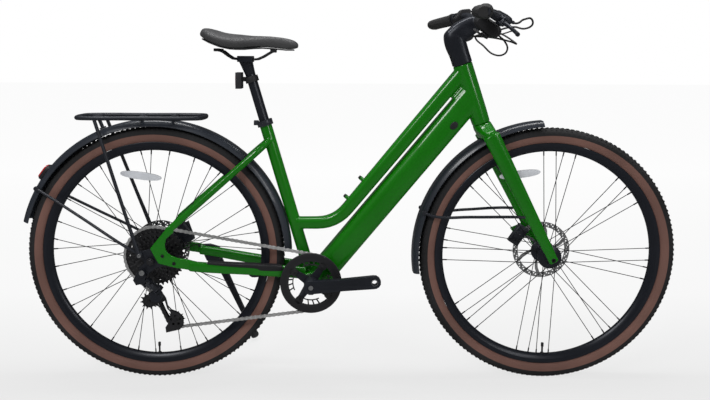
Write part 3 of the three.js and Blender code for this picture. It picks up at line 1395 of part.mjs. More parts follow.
// The cage leans as far as takes up the chain's slack.
const leanLimits = [degrees(-80), degrees(10)];
const cageLean = bisect(...leanLimits, (lean) => {
  const path = chainPath(wheelsFor(lean));
  return chainPins(path, chainLinks).at(-1).s < path.total;
});
const chainWheels = wheelsFor(cageLean);
const pins = chainPins(chainPath(chainWheels), chainLinks);
const [ringWheel, cogWheel, guideWheel, tensionWheel] = chainWheels;

// The angle at which a pin lies on a wheel.
function pinPhase({ x, z }) {
  const held = pins.filter(({ wheel }) => wheel && wheel.x === x && wheel.z === z);
  const { point } = held[Math.floor(held.length / 2)];
  return Math.atan2(point.z - z, point.x - x);
}

// One side of the chain: a closed band of plates with a joint at every pin.
function chainBand(side) {
  const half = plateHeight / 2;
  const corners = pins.slice(0, chainLinks).map(({ point }, i) => ({
    point, before: pins[(i + chainLinks - 1) % chainLinks].point, after: pins[i + 1].point,
  })).filter(({ point, before, after }) =>
    after.clone().sub(point).angleTo(point.clone().sub(before)) > straightLimit);
  const rings = corners.map(({ point, before, after }) => {
    const along = after.clone().sub(before).setY(0).normalize();
    const up = at(-along.z, 0, along.x);
    return [[plateInner, -half], [plateOuter, -half], [plateOuter, half], [plateInner, half]].map(([out, rise]) =>
      point.clone().addScaledVector(up, rise).add(at(0, side * out, 0)));
  });
  const index = [];
  rings.forEach((ringPlaces, r) => ringPlaces.forEach((_, i) => {
    const [a, b] = [r * 4 + i, r * 4 + (i + 1) % 4];
    const next = (r + 1) % rings.length;
    const [c, d] = [next * 4 + i, next * 4 + (i + 1) % 4];
    index.push(a, b, c, b, d, c);
  }));
  const geometry = new THREE.BufferGeometry();
  geometry.setAttribute("position", new THREE.Float32BufferAttribute(rings.flat().flatMap((place) => place.toArray()), 3));
  geometry.setIndex(index);
  return geometry;
}
const straightLimit = degrees(0.05);
const plateHeight = 7.6;
const plateInner = 1.9;
const plateOuter = 3.3;

// The chain: a roller on every pin, held between the plates of both sides.
function chain() {
  const reach = (plateInner + plateOuter) / 2;
  const rollers = pins.slice(0, chainLinks).map(({ point: { x, y, z } }) =>
    asSolid(crossRod(x, z, y - reach, y + reach, rollerRadius, 3)));
  return wasm.Manifold.union([...sides.map((side) => asSolid(chainBand(side))), ...rollers]);
}

// Derailleur

const cageInside = 5.2;
const cagePlate = 2;
const cageOuterY = largestCogY - cageInside - cagePlate;
const pulleyAxleRadius = 3;

function cage() {
  const { x: gx, z: gz } = guideWheel;
  const { x: tx, z: tz } = tensionWheel;
  const pivot = at(cagePivotX, 0, cagePivotZ);
  const along = new THREE.Vector2(tx - gx, tz - gz).normalize();
  const across = new THREE.Vector2(-along.y, along.x);
  const place = (x, z, run, rise) => [x + along.x * run + across.x * rise, z + along.y * run + across.y * rise];
  const strap = [place(gx, gz, 0, -9), place(tx, tz, 0, -8), place(tx, tz, 0, 12), place(gx, gz, 0, 11)];
  const tail = [place(tx, tz, -10, -10), [tx - 20, tz - 31], [tx - 12, tz - 33], [tx + 22, tz - 14], place(tx, tz, 4, 8)];
  const [yOut, yIn] = [cageOuterY, largestCogY + cageInside];
  const web = [[pivot.x - 9, pivot.z + 12], [gx - 4, gz + 9], [gx + 8, gz - 8], place(gx, gz, 40, 10), [pivot.x + 13, pivot.z - 8]];
  const side = (y0, y1, pivotToo) => join(plate(strap, y0, y1), plate(tail, y0, y1), ...(pivotToo ? [plate(web, y0, y1)] : []),
    crossRod(gx, gz, y0, y1, 11, 10), crossRod(tx, tz, y0, y1, 17, 12),
    ...(pivotToo ? [crossRod(pivot.x, pivot.z, y0, y1, 15, 12)] : []));
  const window = (y0, y1) => plate([place(gx, gz, 18, -3), place(gx, gz, 50, -3), place(gx, gz, 50, 5), place(gx, gz, 18, 5)], y0, y1);
  const pivotPin = crossRod(pivot.x, pivot.z, cageOuterY + cagePlate / 2, cageOuterY - 12, 4, 8);
  return cut(join(side(yOut, yOut + cagePlate, true), side(yIn, yIn + cagePlate, false),
    crossRod(gx, gz, yOut, yIn + cagePlate, pulleyAxleRadius, 8), crossRod(tx, tz, yOut, yIn + cagePlate, pulleyAxleRadius, 8),
    pivotPin), window(yOut - 1, yOut + cagePlate + 1), window(yIn - 1, yIn + cagePlate + 1));
}

function pulley(phase) {
  const width = 6.4;
  const bodyRadius = 12;
  const bore = pulleyAxleRadius + seatGap + 0.1;
  return cut(join(sprocket(pulleyTeeth, phase, 0, true), crossRod(0, 0, -width / 2, width / 2, bodyRadius, 10)),
    crossRod(0, 0, -width, width, bore, 8));
}

// The parallelogram lies in a plane across the bike: its pins point along linkAxis.
const linkStart = at(-7, -80, 293);
const linkEnd = at(13, -60, 270);
const linkFlat = at(linkEnd.x - linkStart.x, 0, linkEnd.z - linkStart.z).normalize();
const linkAxis = linkFlat.clone().cross(yAxis).normalize();
const linkSpread = 6;
const linkPinRadius = 1.9;
const linkHalfLength = 7.5;
const linkEyeRadius = 3.6;
const alongPin = (place, run, out = 0) => place.clone().addScaledVector(linkAxis, run).addScaledVector(yAxis, out);

function derailleurLink(out) {
  const half = linkHalfLength - runGap;
  const eye = (place) => rod(alongPin(place, -half, out), alongPin(place, half, out), linkEyeRadius, linkEyeRadius, 7);
  const toward = linkEnd.clone().sub(linkStart).normalize();
  const across = toward.clone().cross(linkAxis).normalize().multiplyScalar(linkEyeRadius - 0.8);
  const corners = (place) => [[-half, 1], [half, 1], [half, -1], [-half, -1]].map(([run, rise]) =>
    alongPin(place, run, out).addScaledVector(across, rise));
  const bar = loft([corners(linkStart), corners(linkEnd)]);
  const bore = (place) => rod(alongPin(place, -half * 2, out), alongPin(place, half * 2, out),
    linkPinRadius + seatGap + 0.1, linkPinRadius + seatGap + 0.1, 6);
  return cut(join(eye(linkStart), eye(linkEnd), bar), bore(linkStart), bore(linkEnd));
}

// The two lugs that hold the pins of one end of the parallelogram.
function linkLugs(place, reachTo) {
  const lugThickness = 3;
  const lugRadius = 5;
  return sides.flatMap((end) => {
    const from = end * linkHalfLength;
    const to = end * (linkHalfLength + lugThickness);
    return [...[-linkSpread, linkSpread].map((out) => rod(alongPin(place, from, out), alongPin(place, to, out), lugRadius, lugRadius, 6)),
      loft([at(0, 0, 0), reachTo.clone().sub(place)].map((shift) => [[from, -1], [to, -1], [to, 1], [from, 1]].map(([run, rise]) =>
        alongPin(place, run, rise * (linkSpread + lugRadius)).add(shift))))];
  });
}

const linkPins = (place) => [-linkSpread, linkSpread].map((out) =>
  rod(alongPin(place, -linkHalfLength - 1, out), alongPin(place, linkHalfLength + 1, out), linkPinRadius, linkPinRadius, 6));

function derailleurMount() {
  const inner = axleHalf + insertThickness + seatGap;
  const back = linkStart.clone().addScaledVector(linkFlat, -11);
  const body = plate([[-31, 326], [-22, 331], [-13, 326], [-10, 312], [-14, 300], [back.x, back.z - 6], [-36, 290], [-44, 304]],
    -inner, -inner - 16);
  const bolt = crossRod(hangerBolt.x, hangerBolt.z, -inner, -inner - 20, 8.5, 10);
  const bridge = loft([0, 1].map((t) => [[-linkHalfLength - 3, -11], [linkHalfLength + 3, -11], [linkHalfLength + 3, 11],
    [-linkHalfLength - 3, 11]].map(([run, out]) => alongPin(back, run, out).addScaledVector(linkFlat, t * 5))));
  return join(body, bolt, bridge, ...linkLugs(linkStart, back), ...linkPins(linkStart));
}

function derailleurKnuckle() {
  const inner = cageOuterY - seatGap;
  const front = linkEnd.clone().addScaledVector(linkFlat, 9);
  const barrel = crossRod(cagePivotX, cagePivotZ, inner, inner - 27, 13, 12);
  const bridge = loft([0, 1].map((t) => [[-linkHalfLength - 3, -11], [linkHalfLength + 3, -11], [linkHalfLength + 3, 11],
    [-linkHalfLength - 3, 11]].map(([run, out]) => alongPin(front, run, out).addScaledVector(linkFlat, -t * 4))));
  return cut(join(barrel, bridge, ...linkLugs(linkEnd, front), ...linkPins(linkEnd)),
    crossRod(cagePivotX, cagePivotZ, cageOuterY, cageOuterY - 12.6, 4.5, 8));
}

// The whole bike

const bike = new THREE.Group();
bike.name = "step_through_bike";

piece(bike, "frame", frameBody(), greenPaint);
piece(bike, "dropout_insert_right", insertPlate(-1), satinBlack);
piece(bike, "rear_axle", rearAxleBody(), darkSteel);
piece(bike, "bottom_bracket", bottomBracket(), darkSteel).position.copy(bracket);
piece(bike, "seat_clamp", seatClamp(), satinBlack);
piece(bike, "chainstay_guard", stayGuard(), blackRubber);
piece(bike, "headset_upper_bearing", headsetBearing(2), steel);
piece(bike, "headset_lower_bearing", headsetBearing(headTubeLength - 10), steel);
piece(bike, "rear_fender", join(fender(rearAxle, rearFenderStart, rearFenderEnd, 21), fenderReflector()), blackPlastic);
piece(bike, "rear_fender_stay", rearFenderStay(), satinBlack);
piece(bike, "rack", rack(), satinBlack);
piece(bike, "kickstand_mount", standMount(), satinBlack);
piece(bike, "rear_brake_caliper", caliper(rearCaliperPlace, rearCaliperAngle, rearRotorY, axleHalf), satinBlack);
piece(bike, "derailleur_mount", derailleurMount(), satinBlack);

piece(bike, "seat_post", seatPost(), satinBlack);
piece(bike, "saddle_shell", saddleShell(), blackPlastic);
piece(bike, "saddle_pad", saddlePad(), blackRubber);
piece(bike, "post_reflector", postReflector(), redLens);

piece(bike, "fork", fork(), greenPaint);
piece(bike, "front_axle", frontAxleBody(), darkSteel);
piece(bike, "front_brake_caliper", caliper(frontCaliperPlace, caliperAngle, frontRotorY, forkEndY - 5), satinBlack);
piece(bike, "front_fender", fender(frontAxle, frontFenderStart, frontFenderEnd, 14), blackPlastic);
piece(bike, "front_fender_stay", frontFenderStay(), satinBlack);
piece(bike, "stem", stem(), satinBlack);
piece(bike, "handlebar", handlebar(), satinBlack);
for (const [side, word] of [[1, "left"], [-1, "right"]]) {
  piece(bike, `grip_${word}`, grip(side), blackRubber);
  piece(bike, `brake_body_${word}`, brakeBody(side), satinBlack);
  piece(bike, `brake_lever_${word}`, brakeLever(side), satinBlack);
}
piece(bike, "shifter", shifter(), blackPlastic);
piece(bike, "shift_lever", shiftLever(), blackPlastic);
piece(bike, "control_unit", controlUnit(), blackPlastic);
for (const name of Object.keys(hoseRuns)) piece(bike, name, hose(name), blackRubber);

buildWheel(bike, "front", frontAxle, frontHub(), frontRotorY);
buildWheel(bike, "rear", rearAxle, rearHub(), rearRotorY);

const crankset = groupAt(bike, bracket);
piece(crankset, "crank_right", crankRight(), satinBlack);
piece(crankset, "crank_left", crankArm(1), satinBlack);
piece(crankset, "crank_spindle", crankSpindle(), steel);
piece(crankset, "chainring", chainring(pinPhase(ringWheel)), darkSteel);
piece(crankset, "chain_guard", chainGuard(), blackPlastic);

piece(groupAt(bike, rearAxle), "cassette", cassette(pinPhase(cogWheel)), darkSteel);
piece(bike, "chain", chain(), steel);
piece(bike, "derailleur_link_outer", derailleurLink(-linkSpread), satinBlack);
piece(bike, "derailleur_link_inner", derailleurLink(linkSpread), satinBlack);
piece(bike, "derailleur_knuckle", derailleurKnuckle(), satinBlack);
piece(bike, "derailleur_cage", cage(), darkSteel);
piece(groupAt(bike, at(guideWheel.x, largestCogY, guideWheel.z)), "guide_pulley", pulley(pinPhase(guideWheel)), blackPlastic);
piece(groupAt(bike, at(tensionWheel.x, largestCogY, tensionWheel.z)), "tension_pulley", pulley(pinPhase(tensionWheel)), blackPlastic);
piece(bike, "kickstand_leg", standLeg(), satinBlack);

// The bike's zero is the middle of its footprint on the ground.
bike.updateMatrixWorld(true);
const extent = new THREE.Box3().setFromObject(bike, true);
const middle = extent.getCenter(new THREE.Vector3());
bike.position.set(-middle.x, -middle.y, -extent.min.z);

export default bike;
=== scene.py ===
"""Dresses a step-through bicycle: fine surfaces, materials, studio and camera over its fixed frame.

Lengths are in millimetres unless a docstring says otherwise; `at` and the modelling steps turn them into metres.
"""

import json
import logging
import math
from contextlib import contextmanager
from dataclasses import dataclass
from enum import Enum
from typing import Iterator, Sequence

import bmesh
import bpy
from mathutils import Matrix, Vector

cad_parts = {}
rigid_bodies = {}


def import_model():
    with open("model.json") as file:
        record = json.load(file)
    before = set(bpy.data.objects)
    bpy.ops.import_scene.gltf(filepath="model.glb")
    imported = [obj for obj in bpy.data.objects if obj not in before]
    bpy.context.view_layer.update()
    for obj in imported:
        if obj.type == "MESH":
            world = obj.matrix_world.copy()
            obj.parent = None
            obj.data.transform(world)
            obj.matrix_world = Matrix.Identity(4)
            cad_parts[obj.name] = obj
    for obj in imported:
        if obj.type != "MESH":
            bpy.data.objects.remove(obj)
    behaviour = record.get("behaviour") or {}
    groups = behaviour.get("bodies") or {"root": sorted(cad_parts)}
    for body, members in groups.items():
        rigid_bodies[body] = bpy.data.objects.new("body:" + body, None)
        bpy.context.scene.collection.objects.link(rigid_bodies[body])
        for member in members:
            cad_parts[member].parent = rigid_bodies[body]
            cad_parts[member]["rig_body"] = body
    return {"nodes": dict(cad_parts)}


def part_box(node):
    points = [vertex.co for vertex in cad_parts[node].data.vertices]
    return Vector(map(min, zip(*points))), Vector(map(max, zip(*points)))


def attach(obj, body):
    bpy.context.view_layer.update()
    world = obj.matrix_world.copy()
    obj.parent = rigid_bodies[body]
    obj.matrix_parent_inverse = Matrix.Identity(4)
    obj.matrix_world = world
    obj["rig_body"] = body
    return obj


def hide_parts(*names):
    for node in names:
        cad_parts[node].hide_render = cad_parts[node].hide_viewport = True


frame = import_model()

LOG = logging.getLogger("step_through_bike")
MM = 0.001
SIDES = (-1, 1)
LEFTWARD = Vector((0, 1, 0))
WHEEL_RADIUS = 351
WHEELBASE = 1072.5
AXLE = (0, WHEEL_RADIUS)
BRACKET = (424, 285)
EYELET = (-27, 369)

Piece = bpy.types.Object
Tree = bpy.types.NodeTree
Node = bpy.types.Node
Socket = bpy.types.NodeSocket
Pair = tuple[float, float]
Triple = tuple[float, float, float]
Station = tuple[Vector, float, float]


class Slot(Enum):
    """The record's material slots."""

    PAINT = "green_paint"
    SATIN = "satin_black"
    PLASTIC = "black_plastic"
    RUBBER = "black_rubber"
    STEEL = "steel"
    DARK_STEEL = "dark_steel"
    TYRE = "tyre"
    LENS = "red_lens"


# Places


def middle(node: str) -> Vector:
    """The middle of a node's box, in metres."""
    low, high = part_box(node)
    return (Vector(low) + Vector(high)) / 2


REAR_AXLE = middle("rear_tyre")
FRONT_AXLE = middle("front_tyre")


def at(x: float, y: float, z: float) -> Vector:
    """A place in metres.

    Args:
        x: Millimetres ahead of the rear axle.
        y: Millimetres to the rider's left.
        z: Millimetres above the ground.
    """
    return Vector((REAR_AXLE.x + x * MM, y * MM, z * MM))


def set_y(place: Vector, y: float) -> Vector:
    """The same place at another distance from the mid-plane."""
    return Vector((place.x, y * MM, place.z))


def polar(centre: Vector, radius: float, turn: float, y: float) -> Vector:
    """A place by its radius and turn about a cross axis through a place in metres."""
    return centre + Vector((radius * math.cos(turn), y, radius * math.sin(turn))) * MM


def turned(centre: Pair, radius: float, turn: float, y: float) -> Vector:
    """A place by its radius and turn about a cross axis that is given by its x and z."""
    return at(centre[0] + radius * math.cos(turn), y, centre[1] + radius * math.sin(turn))


def squared(turn: float, power: float, other: float) -> Pair:
    """A turn's cosine and sine, each raised to a power of its own with its sign kept."""
    c, s = math.cos(turn), math.sin(turn)
    return math.copysign(abs(c) ** power, c), math.copysign(abs(s) ** other, s)


def spline(rows: Sequence[Sequence[float]], steps: int) -> list[Sequence[float]]:
    """Rows of numbers with smooth steps between them."""
    finer: list[Sequence[float]] = []
    last = len(rows) - 1
    for i in range(last):
        four = [rows[max(0, min(last, j))] for j in range(i - 1, i + 3)]
        for t in (step / steps for step in range(steps)):
            finer.append(tuple(
                0.5 * (2 * q + (r - p) * t + (2 * p - 5 * q + 4 * r - s) * t * t + (3 * q - p - 3 * r + s) * t ** 3)
                for p, q, r, s in zip(*four)))
    return [*finer, rows[-1]]


# Materials


def add_node(tree: Tree, kind: str, **values: object) -> Node:
    """Adds a shader node and sets its inputs, with underscores for the spaces in their names."""
    made = tree.nodes.new("ShaderNode" + kind)
    for name, value in values.items():
        made.inputs[name.replace("_", " ")].default_value = value
    return made


def mapped(tree: Tree, source: Socket, given: Pair, wanted: Pair) -> Socket:
    """Maps a value's range to another one.

    Args:
        tree: The node tree.
        source: The value.
        given: Its range.
        wanted: The range that it is mapped to.

    Returns:
        The mapped value.
    """
    node = add_node(tree, "MapRange", From_Min=given[0], From_Max=given[1], To_Min=wanted[0], To_Max=wanted[1])
    tree.links.new(source, node.inputs["Value"])
    return node.outputs["Result"]


@dataclass(frozen=True)
class Finish:
    """A surface: its colour, how it varies, and its small relief.

    Attributes:
        name: The material's name.
        slot: The record slot for its pieces; not used.
        colour: Linear base colour.
        roughness: Middle roughness.
        metal: How metallic it is, 0 to 1.
        variation: How far the colour drifts in large soft clouds.
        grain: Size of the small relief.
        relief: Strength of the small relief.
        wear: How far exposed edges lighten.
        coat: Weight of a clear coat.
        cells: Whether the relief is in cells, as leather, instead of clouds.
        stretch: How the relief is drawn out along each axis.
    """

    name: str
    slot: Slot
    colour: Triple
    roughness: float = 0.5
    metal: float = 0.0
    variation: float = 0.12
    grain: float = 0.8
    relief: float = 0.15
    wear: float = 0.0
    coat: float = 0.0
    cells: bool = False
    stretch: Triple = (1.0, 1.0, 1.0)

    def material(self) -> bpy.types.Material:
        """Builds the material once and returns it."""
        found = bpy.data.materials.get(self.name)
        if found:
            return found
        made = bpy.data.materials.new(self.name)
        made.use_nodes = True
        tree = made.node_tree
        shader = tree.nodes["Principled BSDF"]
        for name, value in (("Metallic", self.metal), ("Coat Weight", self.coat), ("Coat Roughness", 0.06),
                            ("Specular IOR Level", 0.35)):
            shader.inputs[name].default_value = value
        place = add_node(tree, "TexCoord").outputs["Object"]
        noise = add_node(tree, "TexNoise", Scale=9.0, Detail=3.0)
        tree.links.new(place, noise.inputs["Vector"])
        clouds = noise.outputs["Fac"]
        self._colour(tree, shader, clouds)
        spread = (max(0.02, self.roughness - 0.06), min(1.0, self.roughness + 0.06))
        tree.links.new(mapped(tree, clouds, (0.0, 1.0), spread), shader.inputs["Roughness"])
        self._relief(tree, shader, place)
        return made

    def _colour(self, tree: Tree, shader: Node, clouds: Socket) -> None:
        """Drifts the colour with the clouds and lightens worn edges."""
        ramp = add_node(tree, "ValToRGB")
        for stop, where, way in zip(ramp.color_ramp.elements, (0.3, 0.7), (-1, 1)):
            stop.position = where
            stop.color = (*[min(1, c * (1 + way * self.variation)) for c in self.colour], 1)
        tree.links.new(clouds, ramp.inputs["Fac"])
        colour = ramp.outputs["Color"]
        if self.wear:
            pointed = add_node(tree, "NewGeometry").outputs["Pointiness"]
            mix = tree.nodes.new("ShaderNodeMix")
            mix.data_type = "RGBA"
            tree.links.new(mapped(tree, pointed, (0.52, 0.62), (0.0, self.wear)), mix.inputs["Factor"])
            tree.links.new(colour, mix.inputs["A"])
            mix.inputs["B"].default_value = (*[min(1, c * 2.2 + 0.05) for c in self.colour], 1)
            colour = mix.outputs["Result"]
        tree.links.new(colour, shader.inputs["Base Color"])

    def _relief(self, tree: Tree, shader: Node, place: Socket) -> None:
        """Adds the small relief as a bump."""
        mapping = add_node(tree, "Mapping", Scale=self.stretch)
        tree.links.new(place, mapping.inputs["Vector"])
        pattern = add_node(tree, "TexVoronoi" if self.cells else "TexNoise", Scale=1 / (self.grain * MM))
        tree.links.new(mapping.outputs["Vector"], pattern.inputs["Vector"])
        bump = add_node(tree, "Bump", Strength=self.relief, Distance=self.grain * MM * 0.3)
        tree.links.new(pattern.outputs["Distance" if self.cells else "Fac"], bump.inputs["Height"])
        tree.links.new(bump.outputs["Normal"], shader.inputs["Normal"])


PAINT = Finish("gloss_green_paint", Slot.PAINT, (0.004, 0.14, 0.0008), 0.24, 0.0, 0.06, 1.4, 0.02, 0.1, 0.4)
ANODISED = Finish("satin_black_alloy", Slot.SATIN, (0.016, 0.018, 0.024), 0.32, 0.35, 0.15, 0.5, 0.12, 0.35)
POWDER = Finish("powder_black_tube", Slot.SATIN, (0.016, 0.018, 0.024), 0.42, 0.2, 0.15, 0.9, 0.12, 0.2)
MOULDED = Finish("moulded_black_plastic", Slot.PLASTIC, (0.012, 0.012, 0.014), 0.5, 0.0, 0.15, 1.1, 0.2, 0.2)
FENDER_SKIN = Finish("fender_black_plastic", Slot.PLASTIC, (0.02, 0.024, 0.032), 0.33, 0.0, 0.15, 1.6, 0.06, 0.1, 0.15)
GRIP_SKIN = Finish("grip_rubber", Slot.RUBBER, (0.02, 0.02, 0.021), 0.72, 0.0, 0.2, 1.2, 0.45, 0.15, cells=True)
HOSE_SKIN = Finish("hose_rubber", Slot.RUBBER, (0.014, 0.014, 0.015), 0.4, 0.0, 0.1, 0.6, 0.1)
TREAD = Finish("tread_rubber", Slot.TYRE, (0.014, 0.014, 0.015), 0.82, 0.0, 0.3, 1.5, 0.4)
SIDEWALL = Finish("red_brown_sidewall", Slot.TYRE, (0.15, 0.074, 0.058), 0.7, 0.0, 0.14, 0.9, 0.3)
RIM_SKIN = Finish("anodised_rim", Slot.SATIN, (0.012, 0.014, 0.02), 0.3, 0.3, 0.1, 0.5, 0.08, 0.2)
SPOKE_SKIN = Finish("black_spokes", Slot.SATIN, (0.02, 0.02, 0.022), 0.35, 0.6, 0.1, 0.5, 0.05)
COG_STEEL = Finish("black_cog_steel", Slot.DARK_STEEL, (0.026, 0.026, 0.028), 0.3, 0.6, 0.25, 0.6, 0.12, 0.6)
STEEL = Finish("brushed_steel", Slot.STEEL, (0.55, 0.56, 0.57), 0.32, 1.0, 0.12, 0.5, 0.15, 0.2, stretch=(1, 1, 6))
BLACK_STEEL = Finish("black_steel", Slot.DARK_STEEL, (0.05, 0.05, 0.054), 0.36, 0.9, 0.2, 0.6, 0.12, 0.5)
PLATED = Finish("plated_chain", Slot.STEEL, (0.4, 0.4, 0.4), 0.42, 0.65, 0.25, 0.7, 0.15, 0.3)
COVER = Finish("saddle_cover", Slot.RUBBER, (0.045, 0.045, 0.047), 0.52, 0.0, 0.1, 1.3, 0.3, 0.1, cells=True)
RED_GLASS = Finish("red_reflector", Slot.LENS, (0.42, 0.012, 0.016), 0.16, 0.0, 0.2, 2.4, 0.7, 0.1, 0.7, cells=True)
CLEAR_GLASS = Finish("clear_reflector", Slot.PLASTIC, (0.62, 0.64, 0.68), 0.18, 0.0, 0.1, 2.4, 0.6, 0.0, 0.7,
                     cells=True)


# Modelling steps


def clear() -> None:
    """Leaves edit mode and deselects everything."""
    if bpy.context.object and bpy.context.object.mode != "OBJECT":
        bpy.ops.object.mode_set(mode="OBJECT")
    bpy.ops.object.select_all(action="DESELECT")


def hold(piece: Piece) -> Piece:
    """Makes one object the selected and active one."""
    clear()
    piece.select_set(True)
    bpy.context.view_layer.objects.active = piece
    return piece


@contextmanager
def editing(piece: Piece) -> Iterator[None]:
    """Edit mode on one object, with all of it selected."""
    hold(piece)
    bpy.ops.object.mode_set(mode="EDIT")
    bpy.ops.mesh.select_all(action="SELECT")
    yield
    bpy.ops.object.mode_set(mode="OBJECT")


def settle(piece: Piece, angle: float) -> Piece:
    """Applies the object's place to its mesh, and shades it smooth up to an angle in degrees."""
    hold(piece)
    bpy.ops.object.transform_apply(location=True, rotation=True, scale=True)
    bpy.ops.object.shade_smooth_by_angle(angle=math.radians(angle))
    return piece


def apply(piece: Piece, kind: str, **settings: object) -> Piece:
    """Adds a modifier, sets it and applies it."""
    hold(piece)
    modifier = piece.modifiers.new(kind.lower(), kind)
    for key, value in settings.items():
        setattr(modifier, key, value)
    bpy.ops.object.modifier_apply(modifier=modifier.name)
    return piece


def rounded(piece: Piece, width: float, segments: int, angle: float) -> Piece:
    """Rounds the edges that are sharper than an angle in degrees."""
    return apply(piece, "BEVEL", width=width * MM, segments=segments, limit_method="ANGLE",
                 angle_limit=math.radians(angle))


def outward(piece: Piece) -> Piece:
    """Merges doubles and turns all faces outwards."""
    with editing(piece):
        bpy.ops.mesh.remove_doubles(threshold=1e-6)
        bpy.ops.mesh.normals_make_consistent(inside=False)
    return piece


def joined(pieces: Sequence[Piece]) -> Piece:
    """Joins pieces into the first one."""
    clear()
    for piece in pieces:
        piece.select_set(True)
    bpy.context.view_layer.objects.active = pieces[0]
    if len(pieces) > 1:
        bpy.ops.object.join()
    return pieces[0]


def around(piece: Piece, centre: Vector, count: int) -> Piece:
    """Repeats a piece evenly round a cross axis, over a full turn."""
    with editing(piece):
        bpy.ops.mesh.spin(steps=count - 1, angle=math.tau * (count - 1) / count, center=centre, axis=LEFTWARD,
                          dupli=True)
    return outward(piece)


def cut_by(piece: Piece, tool: Piece) -> Piece:
    """Cuts a tool's form out of a piece, and removes the tool."""
    apply(piece, "BOOLEAN", operation="DIFFERENCE", solver="EXACT", object=tool)
    bpy.data.objects.remove(tool)
    return piece


def welded(parts: Sequence[Piece], voxel: float, rounds: int) -> Piece:
    """Melts closed parts into one skin with soft fillets, as welds leave.

    Args:
        parts: Closed parts that reach into one another.
        voxel: Detail size.
        rounds: Smoothing rounds.
    """
    piece = joined(parts)
    apply(piece, "REMESH", mode="VOXEL", voxel_size=voxel * MM, adaptivity=0.0)
    apply(piece, "SMOOTH", factor=0.5, iterations=rounds)
    return settle(piece, 60)


def outlined(points: Sequence[Vector], filled: bool) -> Piece:
    """A closed ring through places, as bare edges or as one face."""
    clear()
    bpy.ops.mesh.primitive_circle_add(vertices=len(points), radius=1, location=(0, 0, 0),
                                      fill_type="NGON" if filled else "NOTHING")
    piece = bpy.context.object
    for vertex, point in zip(piece.data.vertices, points):
        vertex.co = point
    return piece


def lofted(rings: Sequence[Sequence[Vector]]) -> Piece:
    """Extrudes a ring of points through the places of the next ones, and fills both ends."""
    piece = outlined(rings[0], False)
    with editing(piece):
        order = start = list(range(len(rings[0])))
        for ring in rings[1:]:
            bpy.ops.mesh.extrude_region_move()
            mesh = bmesh.from_edit_mesh(piece.data)
            mesh.verts.ensure_lookup_table()
            moved = {v.index: v for v in mesh.verts if v.select}
            order = [next(e.other_vert(mesh.verts[i]) for e in mesh.verts[i].link_edges
                          if e.other_vert(mesh.verts[i]).index in moved).index for i in order]
            for index, point in zip(order, ring):
                mesh.verts[index].co = point
            bmesh.update_edit_mesh(piece.data)
        mesh = bmesh.from_edit_mesh(piece.data)
        mesh.verts.ensure_lookup_table()
        mesh.faces.new([mesh.verts[i] for i in order])
        mesh.faces.new([mesh.verts[i] for i in reversed(start)])
        bmesh.update_edit_mesh(piece.data)
    return outward(piece)


def spun(section: Sequence[Vector], centre: Vector, steps: int, sweep: float = math.tau) -> Piece:
    """Spins a closed section about a cross axis.

    Args:
        section: The section's points, in order.
        centre: A point of the axis.
        steps: How many steps the turn has.
        sweep: The turn's angle; less than a full turn leaves capped ends.
    """
    piece = outlined(section, abs(sweep - math.tau) >= 1e-6)
    with editing(piece):
        bpy.ops.mesh.spin(steps=steps, angle=sweep, center=centre, axis=LEFTWARD, dupli=False)
    return outward(piece)


def slab(outline: Sequence[Vector], thickness: Sequence[float], bevel: float = 0.0, segments: int = 2) -> Piece:
    """Fills an outline, extrudes it and rounds its edges.

    Args:
        outline: The outline's points, in order.
        thickness: The way and length of the extrusion.
        bevel: The edge rounding.
        segments: Steps of the rounding.
    """
    piece = outlined(outline, True)
    with editing(piece):
        bpy.ops.mesh.extrude_region_move(TRANSFORM_OT_translate={"value": Vector(thickness) * MM})
    outward(piece)
    return rounded(piece, bevel, segments, 40) if bevel else piece


def across_slab(outline: Sequence[Pair], y: float, depth: float, bevel: float = 0.0, segments: int = 2) -> Piece:
    """A slab across the bike from an outline of (x, z) places; `depth` reaches to the left of `y`."""
    return slab([at(x, y, z) for x, z in outline], (0, depth, 0), bevel, segments)


def rod(start: Vector, end: Vector, radius: float, sides: int = 12, bevel: float = 0.0) -> Piece:
    """A round bar between two places, with rounded rims."""
    clear()
    along = end - start
    bpy.ops.mesh.primitive_cone_add(vertices=sides, radius1=radius * MM, radius2=radius * MM, depth=along.length,
                                    location=(start + end) / 2, rotation=along.to_track_quat("Z", "Y").to_euler())
    piece = bpy.context.object
    bpy.ops.object.transform_apply(location=True, rotation=True, scale=True)
    return rounded(piece, bevel, 2, 50) if bevel else piece


def across_rod(centre: Pair, from_y: float, to_y: float, radius: float, sides: int = 32, bevel: float = 0.0) -> Piece:
    """A round bar across the bike, about the axis at an (x, z) place."""
    return rod(at(centre[0], from_y, centre[1]), at(centre[0], to_y, centre[1]), radius, sides, bevel)


def tube(points: Sequence[Vector], radius: float, sides: int = 12, steps: int = 6, closed: bool = False) -> Piece:
    """A round tube along a smooth curve through places.

    Args:
        points: The places that the curve goes through.
        radius: The tube's radius.
        sides: Sides of its section.
        steps: Steps between two places.
        closed: Whether it closes on itself.
    """
    clear()
    bpy.ops.curve.primitive_bezier_curve_add(location=(0, 0, 0))
    piece = bpy.context.object
    spline_points = piece.data.splines[0].bezier_points
    spline_points.add(len(points) - 2)
    for knot, point in zip(spline_points, points):
        knot.co = point
        knot.handle_left_type = knot.handle_right_type = "AUTO"
    piece.data.splines[0].use_cyclic_u = closed
    piece.data.dimensions = "3D"
    piece.data.resolution_u = steps
    piece.data.bevel_depth = radius * MM
    piece.data.bevel_resolution = max(0, (sides - 4) // 2)
    piece.data.use_fill_caps = not closed
    bpy.ops.object.convert(target="MESH")
    return outward(bpy.context.object)


